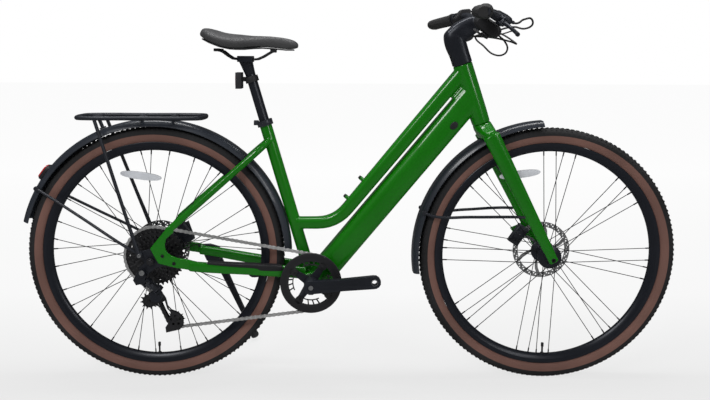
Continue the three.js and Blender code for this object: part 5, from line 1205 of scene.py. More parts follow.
@dataclass
class Chain:
    """The chain: every link's plates, rollers and pins along the path round four wheels.

    Attributes:
        links: How many links it has.
        wheels: The toothed wheels, in the path's order.
    """

    links: int = 112
    wheels: tuple[PathWheel, ...] = (
        PathWheel(*BRACKET, RING_TEETH, 1, RING_Y), PathWheel(*AXLE, COGS[0], 1, COG_Y),
        PathWheel(*GUIDE, PULLEY_TEETH, -1, COG_Y), PathWheel(*TENSION, PULLEY_TEETH, 1, COG_Y))

    def _runs(self) -> list[tuple[float, Vector, Vector, float]]:
        """Each straight run's heading, its two ends and its length."""
        runs = []
        for i, near in enumerate(self.wheels):
            far = self.wheels[(i + 1) % 4]
            dx, dz = far.x - near.x, far.z - near.z
            span = math.hypot(dx, dz)
            offset = far.radius * far.way - near.radius * near.way
            heading = math.atan2(dz, dx) + math.asin(-offset / span)
            out = Vector((math.sin(heading), 0, -math.cos(heading)))
            ends = [Vector((w.x, w.y, w.z)) + out * w.radius * w.way for w in (near, far)]
            runs.append((heading, ends[0], ends[1], math.sqrt(span ** 2 - offset ** 2)))
        return runs

    def _place(self, s: float) -> Vector:
        """The path's place at a distance along it, both in millimetres."""
        rest = s % self._total
        for i, (heading, start, end, length) in enumerate(self._kept):
            near, far = self.wheels[i], self.wheels[(i + 1) % 4]
            if rest <= length:
                slant = min(1, max(0, (rest - 2 * PITCH) / (length - 4 * PITCH)))
                place = start.lerp(end, rest / length)
                place.y = near.y + (far.y - near.y) * slant
                return place
            rest -= length
            swept = self._swept[i]
            if rest <= swept * far.radius:
                turn = heading - far.way * math.pi / 2 + far.way * rest / far.radius
                return Vector((far.x + far.radius * math.cos(turn), far.y, far.z + far.radius * math.sin(turn)))
            rest -= swept * far.radius
        return self._kept[0][1].copy()

    def pins(self) -> list[Vector]:
        """The pins' places, one pitch apart."""
        self._kept = self._runs()
        following = [self.wheels[(i + 1) % 4] for i in range(4)]
        self._swept = [(far.way * (self._kept[(i + 1) % 4][0] - self._kept[i][0])) % math.tau
                       for i, far in enumerate(following)]
        self._total = sum(run[3] for run in self._kept)
        self._total += sum(swept * far.radius for swept, far in zip(self._swept, following))
        places, s = [], 0.0
        for _ in range(self.links):
            here = self._place(s)
            places.append(here)
            low, high = s + PITCH / 2, s + PITCH * 1.1
            for _ in range(30):
                half = (low + high) / 2
                there = self._place(half)
                near = math.hypot(there.x - here.x, there.z - here.z) < PITCH
                low, high = (half, high) if near else (low, half)
            s = (low + high) / 2
        return places

    @staticmethod
    def _pattern(inner: bool) -> Piece:
        """One link lying along X from its first pin at the middle: two plates with pins or rollers."""
        parts = []
        near, far = (1.9, 2.55) if inner else (2.6, 3.3)
        for side in SIDES:
            outline = []
            for x, start, dip in ((0, math.pi / 2, -2.9), (PITCH, -math.pi / 2, 2.9)):
                for turn in (start + math.pi * i / 9 for i in range(10)):
                    outline.append(Vector((x + 4.1 * math.cos(turn), side * near, 4.1 * math.sin(turn))) * MM)
                outline.append(Vector((PITCH / 2, side * near, dip)) * MM)
            parts.append(slab(outline, (0, side * (far - near), 0), 0.15, 1))
        radius, reach = (3.7, 1.9) if inner else (1.75, 3.65)
        for x in (0, PITCH):
            parts.append(rod(Vector((x, -reach, 0)) * MM, Vector((x, reach, 0)) * MM, radius, 12))
        return joined(parts)

    def build(self) -> list[Vector]:
        """Lays the links on their pins, and returns the pins' places."""
        pins = self.pins()
        patterns = [self._pattern(True), self._pattern(False)]
        origin = Vector((REAR_AXLE.x, 0, 0))
        links = []
        for i, pin in enumerate(pins):
            ahead = pins[(i + 1) % self.links] - pin
            hold(patterns[i % 2])
            bpy.ops.object.duplicate()
            link = bpy.context.object
            x_way = ahead.normalized()
            y_way = (LEFTWARD - x_way * x_way.y).normalized()
            turn = Matrix((x_way, y_way, x_way.cross(y_way))).transposed().to_4x4()
            link.matrix_world = Matrix.Translation(origin + pin * MM) @ turn
            links.append(link)
        for pattern in patterns:
            bpy.data.objects.remove(pattern)
        dress(joined(links), "chain_links", PLATED, body_of("chain"), 35, "chain")
        return pins


def held_phase(pins: Sequence[Vector], centre: Pair, teeth: int) -> float:
    """The turn at which a pin lies on a toothed wheel."""
    ways = [(pin.x - centre[0], pin.z - centre[1]) for pin in pins]
    held = [way for way in ways if abs(math.hypot(*way) - pitch_radius(teeth)) < 0.05]
    x, z = held[len(held) // 2]
    return math.atan2(z, x)


def toothed(centre: Pair, y: float, teeth: int, phase: float, bore: float, tip: float = 3.0) -> Piece:
    """A toothed disc across the bike, with a round hole.

    Args:
        centre: Its middle's x and z.
        y: Its place across the bike.
        teeth: Teeth.
        phase: The turn of a gap between two teeth.
        bore: Radius of its hole.
        tip: How far the teeth reach over the pitch radius.
    """
    pitch, step, thickness = pitch_radius(teeth), math.tau / teeth, 1.8
    shape = ((-0.22, -3.4), (-0.08, -4.1), (0.08, -4.1), (0.22, -3.4), (0.36, tip * 0.35), (0.46, tip), (0.54, tip),
             (0.64, tip * 0.35))
    outline = [turned(centre, pitch + rise, phase + i * step + share * step, y - thickness / 2)
               for i in range(teeth) for share, rise in shape]
    return cut_by(slab(outline, (0, thickness, 0)), across_rod(centre, y - thickness * 2, y + thickness * 2, bore, 64))


@dataclass
class Cassette:
    """Nine steel sprockets on their carriers, and the lockring.

    Attributes:
        phase: The turn at which the chain's pins lie on the largest sprocket.
    """

    phase: float

    def build(self) -> None:
        """Builds the block in one piece."""
        parts = []
        for i, teeth in enumerate(COGS):
            y = COG_Y - COG_STEP * i
            bore = pitch_radius(COGS[min(i + 2, len(COGS) - 1)]) * 0.62 if i < 6 else 12
            cog = toothed(AXLE, y, teeth, self.phase if i == 0 else i * 0.13, max(16.5, bore), 2.6)
            if i < 4:
                pitch = pitch_radius(teeth)
                hole_at, size = (bore + pitch - 5) / 2, (pitch - 5 - bore) * 0.3
                place, reach = turned(AXLE, hole_at, i, y), LEFTWARD * 4 * MM
                cut_by(cog, around(rod(place - reach, place + reach, size, 16), REAR_AXLE, 14 - i))
            parts.append(cog)
            parts.append(across_rod(AXLE, y - 2.2, y + 0.9, max(17, bore + 2), 40))
        parts.append(across_rod(AXLE, -66.2, -29, 17, 48))
        parts.append(across_rod(AXLE, -67.2, -64.6, 15, 36, 0.6))
        dress(joined(parts), "cassette_block", COG_STEEL, "cassette", 30, "cassette")


@dataclass
class ChainSet:
    """The chainring with its guard ring and bolts.

    Attributes:
        phase: The turn at which the chain's pins lie on it.
        body: The body that it turns with.
        bolt_circle: Radius on which its bolts lie.
        arm: The cranks' length, to the pedals' axes.
        guard_y: The guard's inner face, across the bike.
    """

    phase: float
    body: str = "crank"
    bolt_circle: float = 52
    arm: float = 168.6
    guard_y: float = -53.9

    def _ribs(self, turn: float) -> list[Piece]:
        """The thin inner arc after one arm, and the ribs that join it to the ring."""
        def bar(places: Sequence[Pair]) -> Piece:
            """A thin bar in the ring's plane from (radius, turn) places."""
            return slab([turned(BRACKET, radius, angle, RING_Y - 0.8) for radius, angle in places], (0, 1.6, 0))

        start, end = turn + 0.12, turn + 1.05
        angles = [start + (end - start) * i / 10 for i in range(11)]
        pieces = [bar([*[(50.5, a) for a in angles], *[(47.5, a) for a in reversed(angles)]])]
        for a in (turn + 0.42, turn + 0.66, turn + 0.9):
            pieces.append(bar([(49, a - 0.03), (63.5, a + 0.04), (63.5, a + 0.1), (49, a + 0.04)]))
        return pieces

    def build(self) -> None:
        """Builds the ring, the guard and the four bolts."""
        turns = [math.radians(56 + 90 * i) for i in range(4)]
        parts = [toothed(BRACKET, RING_Y, RING_TEETH, self.phase, 62)]
        for turn in turns:
            for reach, radius in ((self.bolt_circle, 8), (65, 10)):
                spot = turned(BRACKET, reach, turn, RING_Y - 0.9)
                parts.append(rod(spot, spot + LEFTWARD * 1.8 * MM, radius, 28))
            parts += self._ribs(turn)
        dress(joined(parts), "chainring_teeth", COG_STEEL, self.body, 30, "chainring")
        y = self.guard_y
        shape = ((60, y), (60, y - 2), (61, y - 3), (70, y - 3), (79, y - 3), (82, y - 2.4), (83, y - 1.2), (83, y))
        guard = spun(section(BRACKET_PLACE, shape), BRACKET_PLACE, 120)
        tabs = [rod(turned(BRACKET, 56, t, y), turned(BRACKET, 56, t, y - 3), 11, 32, bevel=0.5) for t in turns]
        dress(joined([guard, *tabs]), "chain_guard_ring", MOULDED, self.body, 35, "chain_guard")
        for number, turn in enumerate(turns):
            place = turned(BRACKET, self.bolt_circle, turn, y - 3)
            socket_bolt(f"chainring_bolt_{number}", place, -LEFTWARD, 5.0, 1.6, BLACK_STEEL, self.body)
        for side, name in SIDE_NAMES.items():
            socket_bolt(f"crank_bolt_{name}", set_y(BRACKET_PLACE, side * 92), LEFTWARD * side, 6.4, 1.8, STEEL,
                        self.body)
            turn = math.radians(5) + (0 if side < 0 else math.pi)
            eye = turned(BRACKET, self.arm, turn, 0)
            insert = rod(set_y(eye, side * 79.8), set_y(eye, side * 94.2), 8.8, 36)
            cut_by(insert, rod(set_y(eye, side * 70), set_y(eye, side * 100), 7.9, 36))
            dress(insert, f"pedal_thread_{name}", STEEL, self.body, 30)


# Saddle


@dataclass
class Saddle:
    """The saddle's padded top, blown up under its cover, with a middle channel and two long seams.

    Attributes:
        length: Its length.
        width: Its full width.
        rear_x: Its rear end.
        top_z: Its highest level.
        fill: How full the pad is, 0 to 1; not used.
        swell: How far the cover may rise off the core.
        skirt: How far below the top the cover is held down.
        channel_depth: Depth of the middle channel.
        seam_depth: Depth of the two seams.
        stations: Its share along, half width share, top drop and underside drop.
    """

    length: float = 263
    width: float = 165
    rear_x: float = 128
    top_z: float = 968
    fill: float = 0.85
    swell: float = 1.8
    skirt: float = 44
    channel_depth: float = 4.2
    seam_depth: float = 0.9
    stations: tuple[tuple[float, float, float, float], ...] = (
        (0, 0.3, 12, 24), (0.04, 0.66, 2, 30), (0.12, 0.93, 4, 40), (0.22, 1, 13, 50), (0.32, 0.97, 18, 56),
        (0.42, 0.82, 20, 56), (0.52, 0.6, 20.5, 54), (0.62, 0.42, 20.5, 53), (0.74, 0.32, 21, 55),
        (0.86, 0.27, 25, 58), (0.95, 0.23, 33, 58), (1, 0.12, 42, 54))

    def core(self, inset: float) -> Piece:
        """The pad's form, held in from the cover's final surface by `inset`."""
        rings = []
        for share, width, top, under in spline(self.stations, 3):
            x = self.rear_x + inset + share * (self.length - 2 * inset)
            half = max(4.0, width * self.width / 2 - inset)
            low = self.top_z - under + inset * 0.3
            height = under - top - inset * 1.1
            places = []
            for i in range(36):
                across, rise = squared((i + 0.5) / 36 * math.tau, 0.75, 0.6)
                base = 0.42 * (1 - rise) * 0.3 if rise > 0 else 0
                places.append(at(x, half * across * (1 if rise > 0 else 0.9), low + height * (max(0, rise) + base)))
            rings.append(places)
        return lofted(rings)

    def blown(self) -> Piece:
        """Blows the cover up over the core as a pressed cloth and keeps its rest form."""
        pad = self.core(1.6)
        apply(pad, "REMESH", mode="VOXEL", voxel_size=4.5 * MM, adaptivity=0.0)
        apply(pad, "SMOOTH", factor=0.5, iterations=3)
        hold(pad)
        pinned = pad.vertex_groups.new(name="held")
        pinned.add([v.index for v in pad.data.vertices if v.co.z / MM < self.top_z - self.skirt], 1.0, "REPLACE")
        cloth = pad.modifiers.new("cloth", "CLOTH")
        for name, value in {"quality": 6, "mass": 0.25, "tension_stiffness": 40, "compression_stiffness": 40,
                            "shear_stiffness": 20, "bending_stiffness": 6, "use_pressure": True,
                            "uniform_pressure_force": 4.0, "vertex_group_mass": "held"}.items():
            setattr(cloth.settings, name, value)
        cloth.settings.effector_weights.gravity = 0.0
        cloth.point_cache.frame_start = 1
        cloth.point_cache.frame_end = 20
        rest = [v.co.copy() for v in pad.data.vertices]
        for number in range(1, 21):
            bpy.context.scene.frame_set(number)
            bpy.context.view_layer.update()
        hold(pad)
        bpy.ops.object.modifier_apply(modifier=cloth.name)
        bpy.context.scene.frame_set(1)
        for vertex, before in zip(pad.data.vertices, rest):
            moved = vertex.co - before
            if moved.length > self.swell * MM:
                vertex.co = before + moved.normalized() * self.swell * MM
        apply(pad, "SUBSURF", levels=1, render_levels=1)
        return pad

    def channel(self, pad: Piece) -> None:
        """Presses the middle channel and the two long seams into the finished form."""
        for vertex in pad.data.vertices:
            share = ((vertex.co.x - REAR_AXLE.x) / MM - self.rear_x) / self.length
            y = abs(vertex.co.y) / MM
            if vertex.normal.z < 0.35 or not 0.06 < share < 0.94:
                continue
            along = math.sin(math.pi * (share - 0.06) / 0.88) ** 0.6
            reach = 9 + 10 * (1 - share)
            dip = self.channel_depth * along * math.exp(-(y / reach) ** 4)
            seam = self.seam_depth * along * math.exp(-((y - reach - 4) / 1.7) ** 2)
            vertex.co.z -= (dip + seam) * MM

    def build(self) -> None:
        pad = self.blown()
        self.channel(pad)
        dress(pad, "saddle_cover", COVER, "seat", 70, "saddle_pad")


# Stem, controls and hoses


LEVER_AHEAD = Vector((0.83867057, 0, -0.54463904))
LEVER_UP = Vector((0.54463904, 0, 0.83867057))
BAR_CENTRE = (872.0, 985.0)
BAR_BEND = (845.6, 162, 1001.8)
HOSE_ENTRY = (858, 947)
BAR_SWEEP = 0.242
BAR_FALL = 0.0784


def bar_point(side: int, y: float) -> Vector:
    """A place on the swept bar's axis, y out on one side."""
    x, bend_y, z = BAR_BEND
    return at(x - BAR_SWEEP * (y - bend_y), side * y, z - BAR_FALL * (y - bend_y))


def control_point(side: int, y: float, ahead: float, up: float) -> Vector:
    """A place near the bar in the levers' own tilted plane."""
    return bar_point(side, y) + (LEVER_AHEAD * ahead + LEVER_UP * up) * MM


def controlled(side: int, *rows: tuple[float, float, float, float, float]) -> list[Station]:
    """Stations near the bar, from (y, ahead, up, half width, half depth) rows."""
    return [(control_point(side, y, ahead, up), width, depth) for y, ahead, up, width, depth in rows]


def skinned(parts: Sequence[Piece], voxel: float, rounds: int, node: str, finish: Finish) -> None:
    """Melts parts into one skin that stands for a node."""
    dress(welded(parts, voxel, rounds), node + "_skin", finish, body_of(node), node=node)


@dataclass
class Stem:
    """The one-piece stem: a column over the head tube, a bulky neck and the bar's clamp.

    Attributes:
        clamp: The clamp's radius.
    """

    clamp: float = 20.9

    def build(self) -> None:
        """Melts the column, the neck and the clamp together and adds the clamp's bolts."""
        column = taper(steered((-0.5, 0, 26, 26), (-28, 0, 26, 26), (-57, -1, 25, 28), (-80, 0, 24, 26),
                               (-89, 2, 20, 20.8)), 2.8, 40, 4)
        neck = taper([*steered((-74, -8, 23, 24), (-83, 20, 24, 28), (-89, 42, 23, 26), (-91, 58, 23, 24)),
                      (at(BAR_CENTRE[0], 0, BAR_CENTRE[1]), 23, 18)], 3.0, 40, 4)
        skin = welded([column, neck, across_rod(BAR_CENTRE, -25, 25, self.clamp, 48)], 1.5, 8)
        cut_by(skin, across_rod(BAR_CENTRE, -40, 40, 16.2, 48))
        body = body_of("stem")
        dress(skin, "stem_skin", ANODISED, body, 60, "stem")
        face = at(BAR_CENTRE[0] + 20.2, 0, BAR_CENTRE[1])
        for number, (y, up) in enumerate(((-16, -13), (16, -13), (-16, 13), (16, 13))):
            place = face + Vector((-4.0, y, up)) * MM
            socket_bolt(f"stem_face_bolt_{number}", place, Vector((1, 0, 0)), 3.8, 3.0, BLACK_STEEL, body)
        for number, down in enumerate((-12, -30)):
            place = steer_point(down, -25.0)
            socket_bolt(f"stem_pinch_bolt_{number}", set_y(place, -9), -STEER_AHEAD, 3.8, 3.2, BLACK_STEEL, body)


@dataclass
class BarControls:
    """Brake bodies and levers, the shifter with its lever, and the control unit.

    Attributes:
        bevel: The clamps' edge rounding.
        key_face: The two ends of the control unit's keyed face, as (x, z).
    """

    bevel: float = 1.2
    key_face: tuple[Pair, Pair] = ((827.6, 1000.5), (848.6, 1025.5))

    def _clamp(self, side: int, from_y: float, to_y: float, radius: float) -> Piece:
        """A clamp ring round the bar."""
        return rod(bar_point(side, from_y), bar_point(side, to_y), radius, 36, bevel=self.bevel)

    def brake(self, side: int) -> None:
        """One brake's body with its reservoir, and its lever."""
        name = SIDE_NAMES[side]
        body = taper(controlled(side, (162, 6, 3, 11, 9), (160, 34, 6.5, 10, 13), (157, 56, 10, 9.5, 11.5),
                                (156, 66, 13, 7.5, 7.5)), 3.6, 36, 4)
        pivot = control_point(side, 178, 50, 2)
        ears = [rod(pivot + LEVER_UP * end * 6 * MM, pivot + LEVER_UP * end * 10 * MM, 7, 28) for end in SIDES]
        arms = [rod(pivot + LEVER_UP * end * 8 * MM, control_point(side, 163, 38, end * 8 + 2), 5, 20) for end in SIDES]
        mouth, way = mouth_way(side)
        nut = rod(mouth, mouth + way * 9 * MM, 4.6, 6)
        skinned([self._clamp(side, 160, 171, 17), body, *ears, *arms, nut], 0.9, 4, "brake_body_" + name, ANODISED)
        lid = taper(controlled(side, (160, 26, 17.5, 7.5, 1.6), (158, 50, 20.0, 7.0, 1.6)), 4, 28)
        dress(lid, f"brake_reservoir_lid_{name}", MOULDED, body_of("brake_body_" + name), 40)
        blade = taper(controlled(side, (178, 50, 2, 5.5, 4.6), (194, 70, 1, 5, 4.6), (218, 84, -1, 5, 4.6),
                                 (250, 90, -2, 5, 4.6), (276, 88.6, -3, 5.4, 4.6), (285, 88, -3, 4, 4.6)),
                      2.6, 28, 4, LEVER_AHEAD)
        hub = rod(pivot - LEVER_UP * 5.4 * MM, pivot + LEVER_UP * 5.4 * MM, 7, 28)
        skinned([blade, hub], 0.8, 4, "brake_lever_" + name, ANODISED)

    def shifter(self) -> None:
        """The gear shifter under the right side of the bar, and its lever."""
        pod = taper(controlled(-1, (118, 26, -28, 27, 13), (124, 26, -28, 36, 18), (142, 26, -28, 35, 18),
                               (148, 26, -28, 28, 13)), 2.8, 40, 2, LEVER_AHEAD)
        neck = rod(control_point(-1, 134, 10, -20), control_point(-1, 134, 2, 0), 9, 28)
        skinned([pod, neck, self._clamp(-1, 128, 141, 16)], 1.0, 5, "shifter", MOULDED)
        pivot, tip = control_point(-1, 134, 32, -47.6), control_point(-1, 168, 8, -51)
        low = pivot - LEVER_UP * 7 * MM
        paddle = taper([(low + LEVER_UP * 3 * MM, 9, 2.5), (tip.lerp(low, 0.4), 7, 2.5), (tip, 10, 3)],
                       2.5, 28, 4, LEVER_AHEAD)
        skinned([rod(low, pivot, 11, 36), paddle], 0.8, 3, "shift_lever", MOULDED)

    def unit(self) -> None:
        """The drive's control unit on the left side of the bar, with its clamp and three keys."""
        (x0, z0), (x1, z1) = self.key_face
        outline = [*self.key_face, (870.6, 1027.5), (877.6, 1019.5), (855.6, 995.5), (831.6, 988.5)]
        unit = joined([across_slab(outline, 116, 34, 2.2, 3), self._clamp(1, 120, 146, 16)])
        body = body_of("control_unit")
        dress(unit, "control_unit_case", MOULDED, body, 35, "control_unit")
        along = (at(x1, 0, z1) - at(x0, 0, z0)).normalized()
        out = Vector((-along.z, 0, along.x))
        for number, share in enumerate((0.28, 0.5, 0.72)):
            foot = at(x0, 133, z0).lerp(at(x1, 133, z1), share)
            key = rod(foot - out * MM, foot + out * 1.6 * MM, 3.4, 24, bevel=0.5)
            dress(key, f"control_unit_key_{number}", GRIP_SKIN, body, 40)

    def build(self) -> None:
        """Builds them all."""
        for side in SIDES:
            self.brake(side)
        self.shifter()
        self.unit()


@dataclass
class Hose:
    """One hose that hangs from its control to the stem's underside.

    Attributes:
        node: Its node.
        radius: Its radius.
        start: Its first places, out of its control.
        places: The (x, y, z) places that it goes through.
        entry_y: Where it goes into the stem's underside, across the bike.
    """

    node: str
    radius: float
    start: Sequence[Vector]
    places: Sequence[Triple]
    entry_y: float

    def build(self) -> None:
        """Bends the hose through its places."""
        x, z = HOSE_ENTRY
        route = [*self.start, *[at(*place) for place in self.places], at(x, self.entry_y, z)]
        dress(tube(route, self.radius, 16, 10), self.node + "_sleeve", HOSE_SKIN, body_of(self.node), 80, self.node)


def mouth_way(side: int) -> tuple[Vector, Vector]:
    """A brake body's hose mouth, and the way out of it."""
    mouth = control_point(side, 156, 66, 13)
    return mouth, (mouth - control_point(side, 160, 34, 6.5)).normalized()


def brake_mouth(side: int) -> list[Vector]:
    """The first two places of a brake hose, straight out of the brake body."""
    mouth, way = mouth_way(side)
    return [mouth + way * 0.3 * MM, mouth + way * 12 * MM]


def shifter_mouth() -> list[Vector]:
    """The first two places of the shift housing, straight out of the shifter's inner end."""
    end = control_point(-1, 118, 40, -28)
    way = (end - control_point(-1, 124, 40, -28)).normalized()
    return [end + way * 0.3 * MM, end + way * 8 * MM]


HOSES = (
    Hose("brake_hose_right", 2.5, brake_mouth(-1), (
        (950, -128, 984), (979, -98, 986), (985, -82, 972), (970, -68, 964), (948, -54, 969), (905, -30, 959)), -15),
    Hose("shift_housing", 2.3, shifter_mouth(), (
        (896, -98, 946), (915, -91, 930), (924, -83, 911), (917, -74, 898), (896, -60, 898), (871, -42, 922),
        (860, -20, 936)), -5),
    Hose("brake_hose_left", 2.5, brake_mouth(1), ((962, 122, 958), (996, 88, 930), (968, 48, 934), (910, 22, 944)), 15),
    Hose("control_cable", 1.9, (at(867, 115.7, 1013.5), at(867, 108, 1013.5)), (
        (926, 92, 992), (978, 66, 968), (962, 36, 960), (906, 12, 948)), 5),
)


# Small drive and frame parts


@dataclass
class DriveTrim:
    """The derailleur's cage and barrel, the chain stay's guard, the front axle and the bright bolts.

    Attributes:
        outer: The cage's outer plate, as (x, z) places.
        inner: Its inner plate.
        window: The opening in both.
    """

    outer: tuple[Pair, ...] = (
        (-8, 258), (8, 263), (23, 247), (30, 236), (37, 205), (52, 198), (68, 190), (76, 176), (76, 160), (66, 147),
        (28, 138), (26, 153), (33, 163.5), (19.5, 194), (8, 222), (-8, 212), (-20, 213), (-28, 224), (-24, 238))
    inner: tuple[Pair, ...] = (
        (-24, 232), (-10, 236), (8, 226), (30, 212), (42, 199), (60, 192), (74, 178), (74, 160), (62, 151), (46, 152),
        (34, 166), (20, 190), (4, 208), (-14, 212), (-27, 219))
    window: tuple[Pair, ...] = ((16, 222), (26, 228), (32, 206), (40, 197), (43, 187), (35, 181), (26, 198))

    def cage(self) -> None:
        """The cage's two pierced plates, its axles and its bolts."""
        parts = []
        for outline, y in ((self.outer, -37.2), (self.inner, -24.8)):
            plate = across_slab(outline, y, 2, 0.4)
            cut_by(plate, across_slab(self.window, y - 4, 10))
            for i in range(5):
                turn = math.tau * i / 5 + 0.4
                hole = (TENSION[0] + 12 * math.cos(turn), TENSION[1] + 12 * math.sin(turn))
                cut_by(plate, across_rod(hole, y - 4, y + 6, 3.6, 20))
            parts.append(plate)
        for centre in (GUIDE, TENSION):
            parts.append(across_rod(centre, -38.6, -22.4, 3, 24, 0.3))
            parts.append(across_rod(centre, -39.6, -37.0, 5.2, 28, 0.6))
        parts.append(across_rod((8, 247), -48.5, -36, 4, 28))
        dress(joined(parts), "derailleur_cage_plates", BLACK_STEEL, body_of("derailleur_cage"), 35, "derailleur_cage")
        barrel = across_rod((8, 250), -63, -47.5, 17.5, 48, 2.4)
        dress(barrel, "derailleur_barrel", ANODISED, body_of("derailleur_knuckle"), 40)

    def guard(self) -> None:
        """The bare guard that lies on the right chain stay under the chain."""
        rows = ((150, 71, 347.4, 2.2), (160, 69.5, 345.6, 3.6), (214, 58.5, 337.8, 5.0), (274, 46, 330.4, 6.2),
                (288, 43.4, 326.2, 9.0), (305, 40.2, 324.4, 9.4), (340, 33.8, 320.6, 8.4), (347, 32.6, 320.4, 4.0))
        skin = taper([(at(x, -y, z), 10.2, half) for x, y, z, half in rows], 4.0, 36, 3)
        dress(skin, "chainstay_guard_skin", MOULDED, "frame", 40, "chainstay_guard", slot=Slot.RUBBER)

    def bolts(self) -> None:
        """The front axle's flush end, and the bright bolts of the hanger and the eyelets."""
        axle = rod(set_y(FRONT_AXLE, -62), set_y(FRONT_AXLE, 66), 5.9, 40, bevel=0.6)
        cut_by(axle, rod(set_y(FRONT_AXLE, -70), set_y(FRONT_AXLE, -57), 3.2, 6))
        dress(axle, "front_axle_rod", BLACK_STEEL, body_of("front_axle"), 35, "front_axle")
        hanger_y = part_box("derailleur_mount")[0][1] / MM
        socket_bolt("hanger_bolt", at(-19, hanger_y + 0.2, 325), -LEFTWARD, 7.0, 2.6, STEEL,
                    body_of("derailleur_mount"))
        for side, name in SIDE_NAMES.items():
            place = at(EYELET[0], side * 86.6, EYELET[1])
            socket_bolt(f"eyelet_bolt_{name}", place, LEFTWARD * side, 5.2, 2.4, STEEL, "frame")

    def build(self) -> None:
        """Builds them all."""
        for step in (self.cage, self.guard, self.bolts):
            step()


# Kickstand


@dataclass
class Kickstand:
    """The side stand: its bracket on the left stays, and its leg.

    Attributes:
        pivot: Where it turns, in x, y and height.
        foot: Where its foot stands.
        axis: The way of its pivot's axis, out to the left.
    """

    pivot: Triple = (142, 93, 316)
    foot: Triple = (243.5, 232, 14)
    axis: Vector = Vector((0.0668, 0.895, 0.441))

    def bracket(self) -> None:
        """The bracket between the stays, with its boss and bolts."""
        outline = [(96, 352), (132, 354), (160, 346), (160, 306), (140, 298), (122, 306), (112, 330)]
        plate, place = across_slab(outline, 72, 12, 2.0, 3), at(*self.pivot)
        skin = joined([plate, rod(place - self.axis * 18 * MM, place, 14, 36, bevel=1.0)])
        body = body_of("kickstand_mount")
        dress(skin, "kickstand_bracket", ANODISED, body, 35, "kickstand_mount")
        for number, (x, z) in enumerate(((116, 345), (148, 338))):
            socket_bolt(f"kickstand_bolt_{number}", at(x, 84, z), LEFTWARD, 5, 3, BLACK_STEEL, body)

    def leg(self) -> None:
        """The leg: hub, sleeve, rod and rubber foot."""
        place, foot = at(*self.pivot), at(*self.foot)
        hub = rod(place + self.axis * 0.3 * MM, place + self.axis * 20 * MM, 13, 36)
        start = place + self.axis * 11 * MM
        shaft = taper([(start, 11, 12), (start.lerp(foot, 0.1), 10, 12), (start.lerp(foot, 0.5), 8.5, 9),
                       (start.lerp(foot, 0.93), 7.5, 7.5)], 2.6, 32, 3)
        skinned([hub, shaft], 1.2, 3, "kickstand_leg", ANODISED)
        shoe = taper([(start.lerp(foot, 0.915), 10, 10), (start.lerp(foot, 0.96), 11, 11), (foot, 12.5, 12.5)], 2.4,
                     32, 2)
        dress(shoe, "kickstand_shoe", GRIP_SKIN, body_of("kickstand_leg"), 40)

    def build(self) -> None:
        """Builds the bracket and the leg."""
        self.bracket()
        self.leg()


# Studio


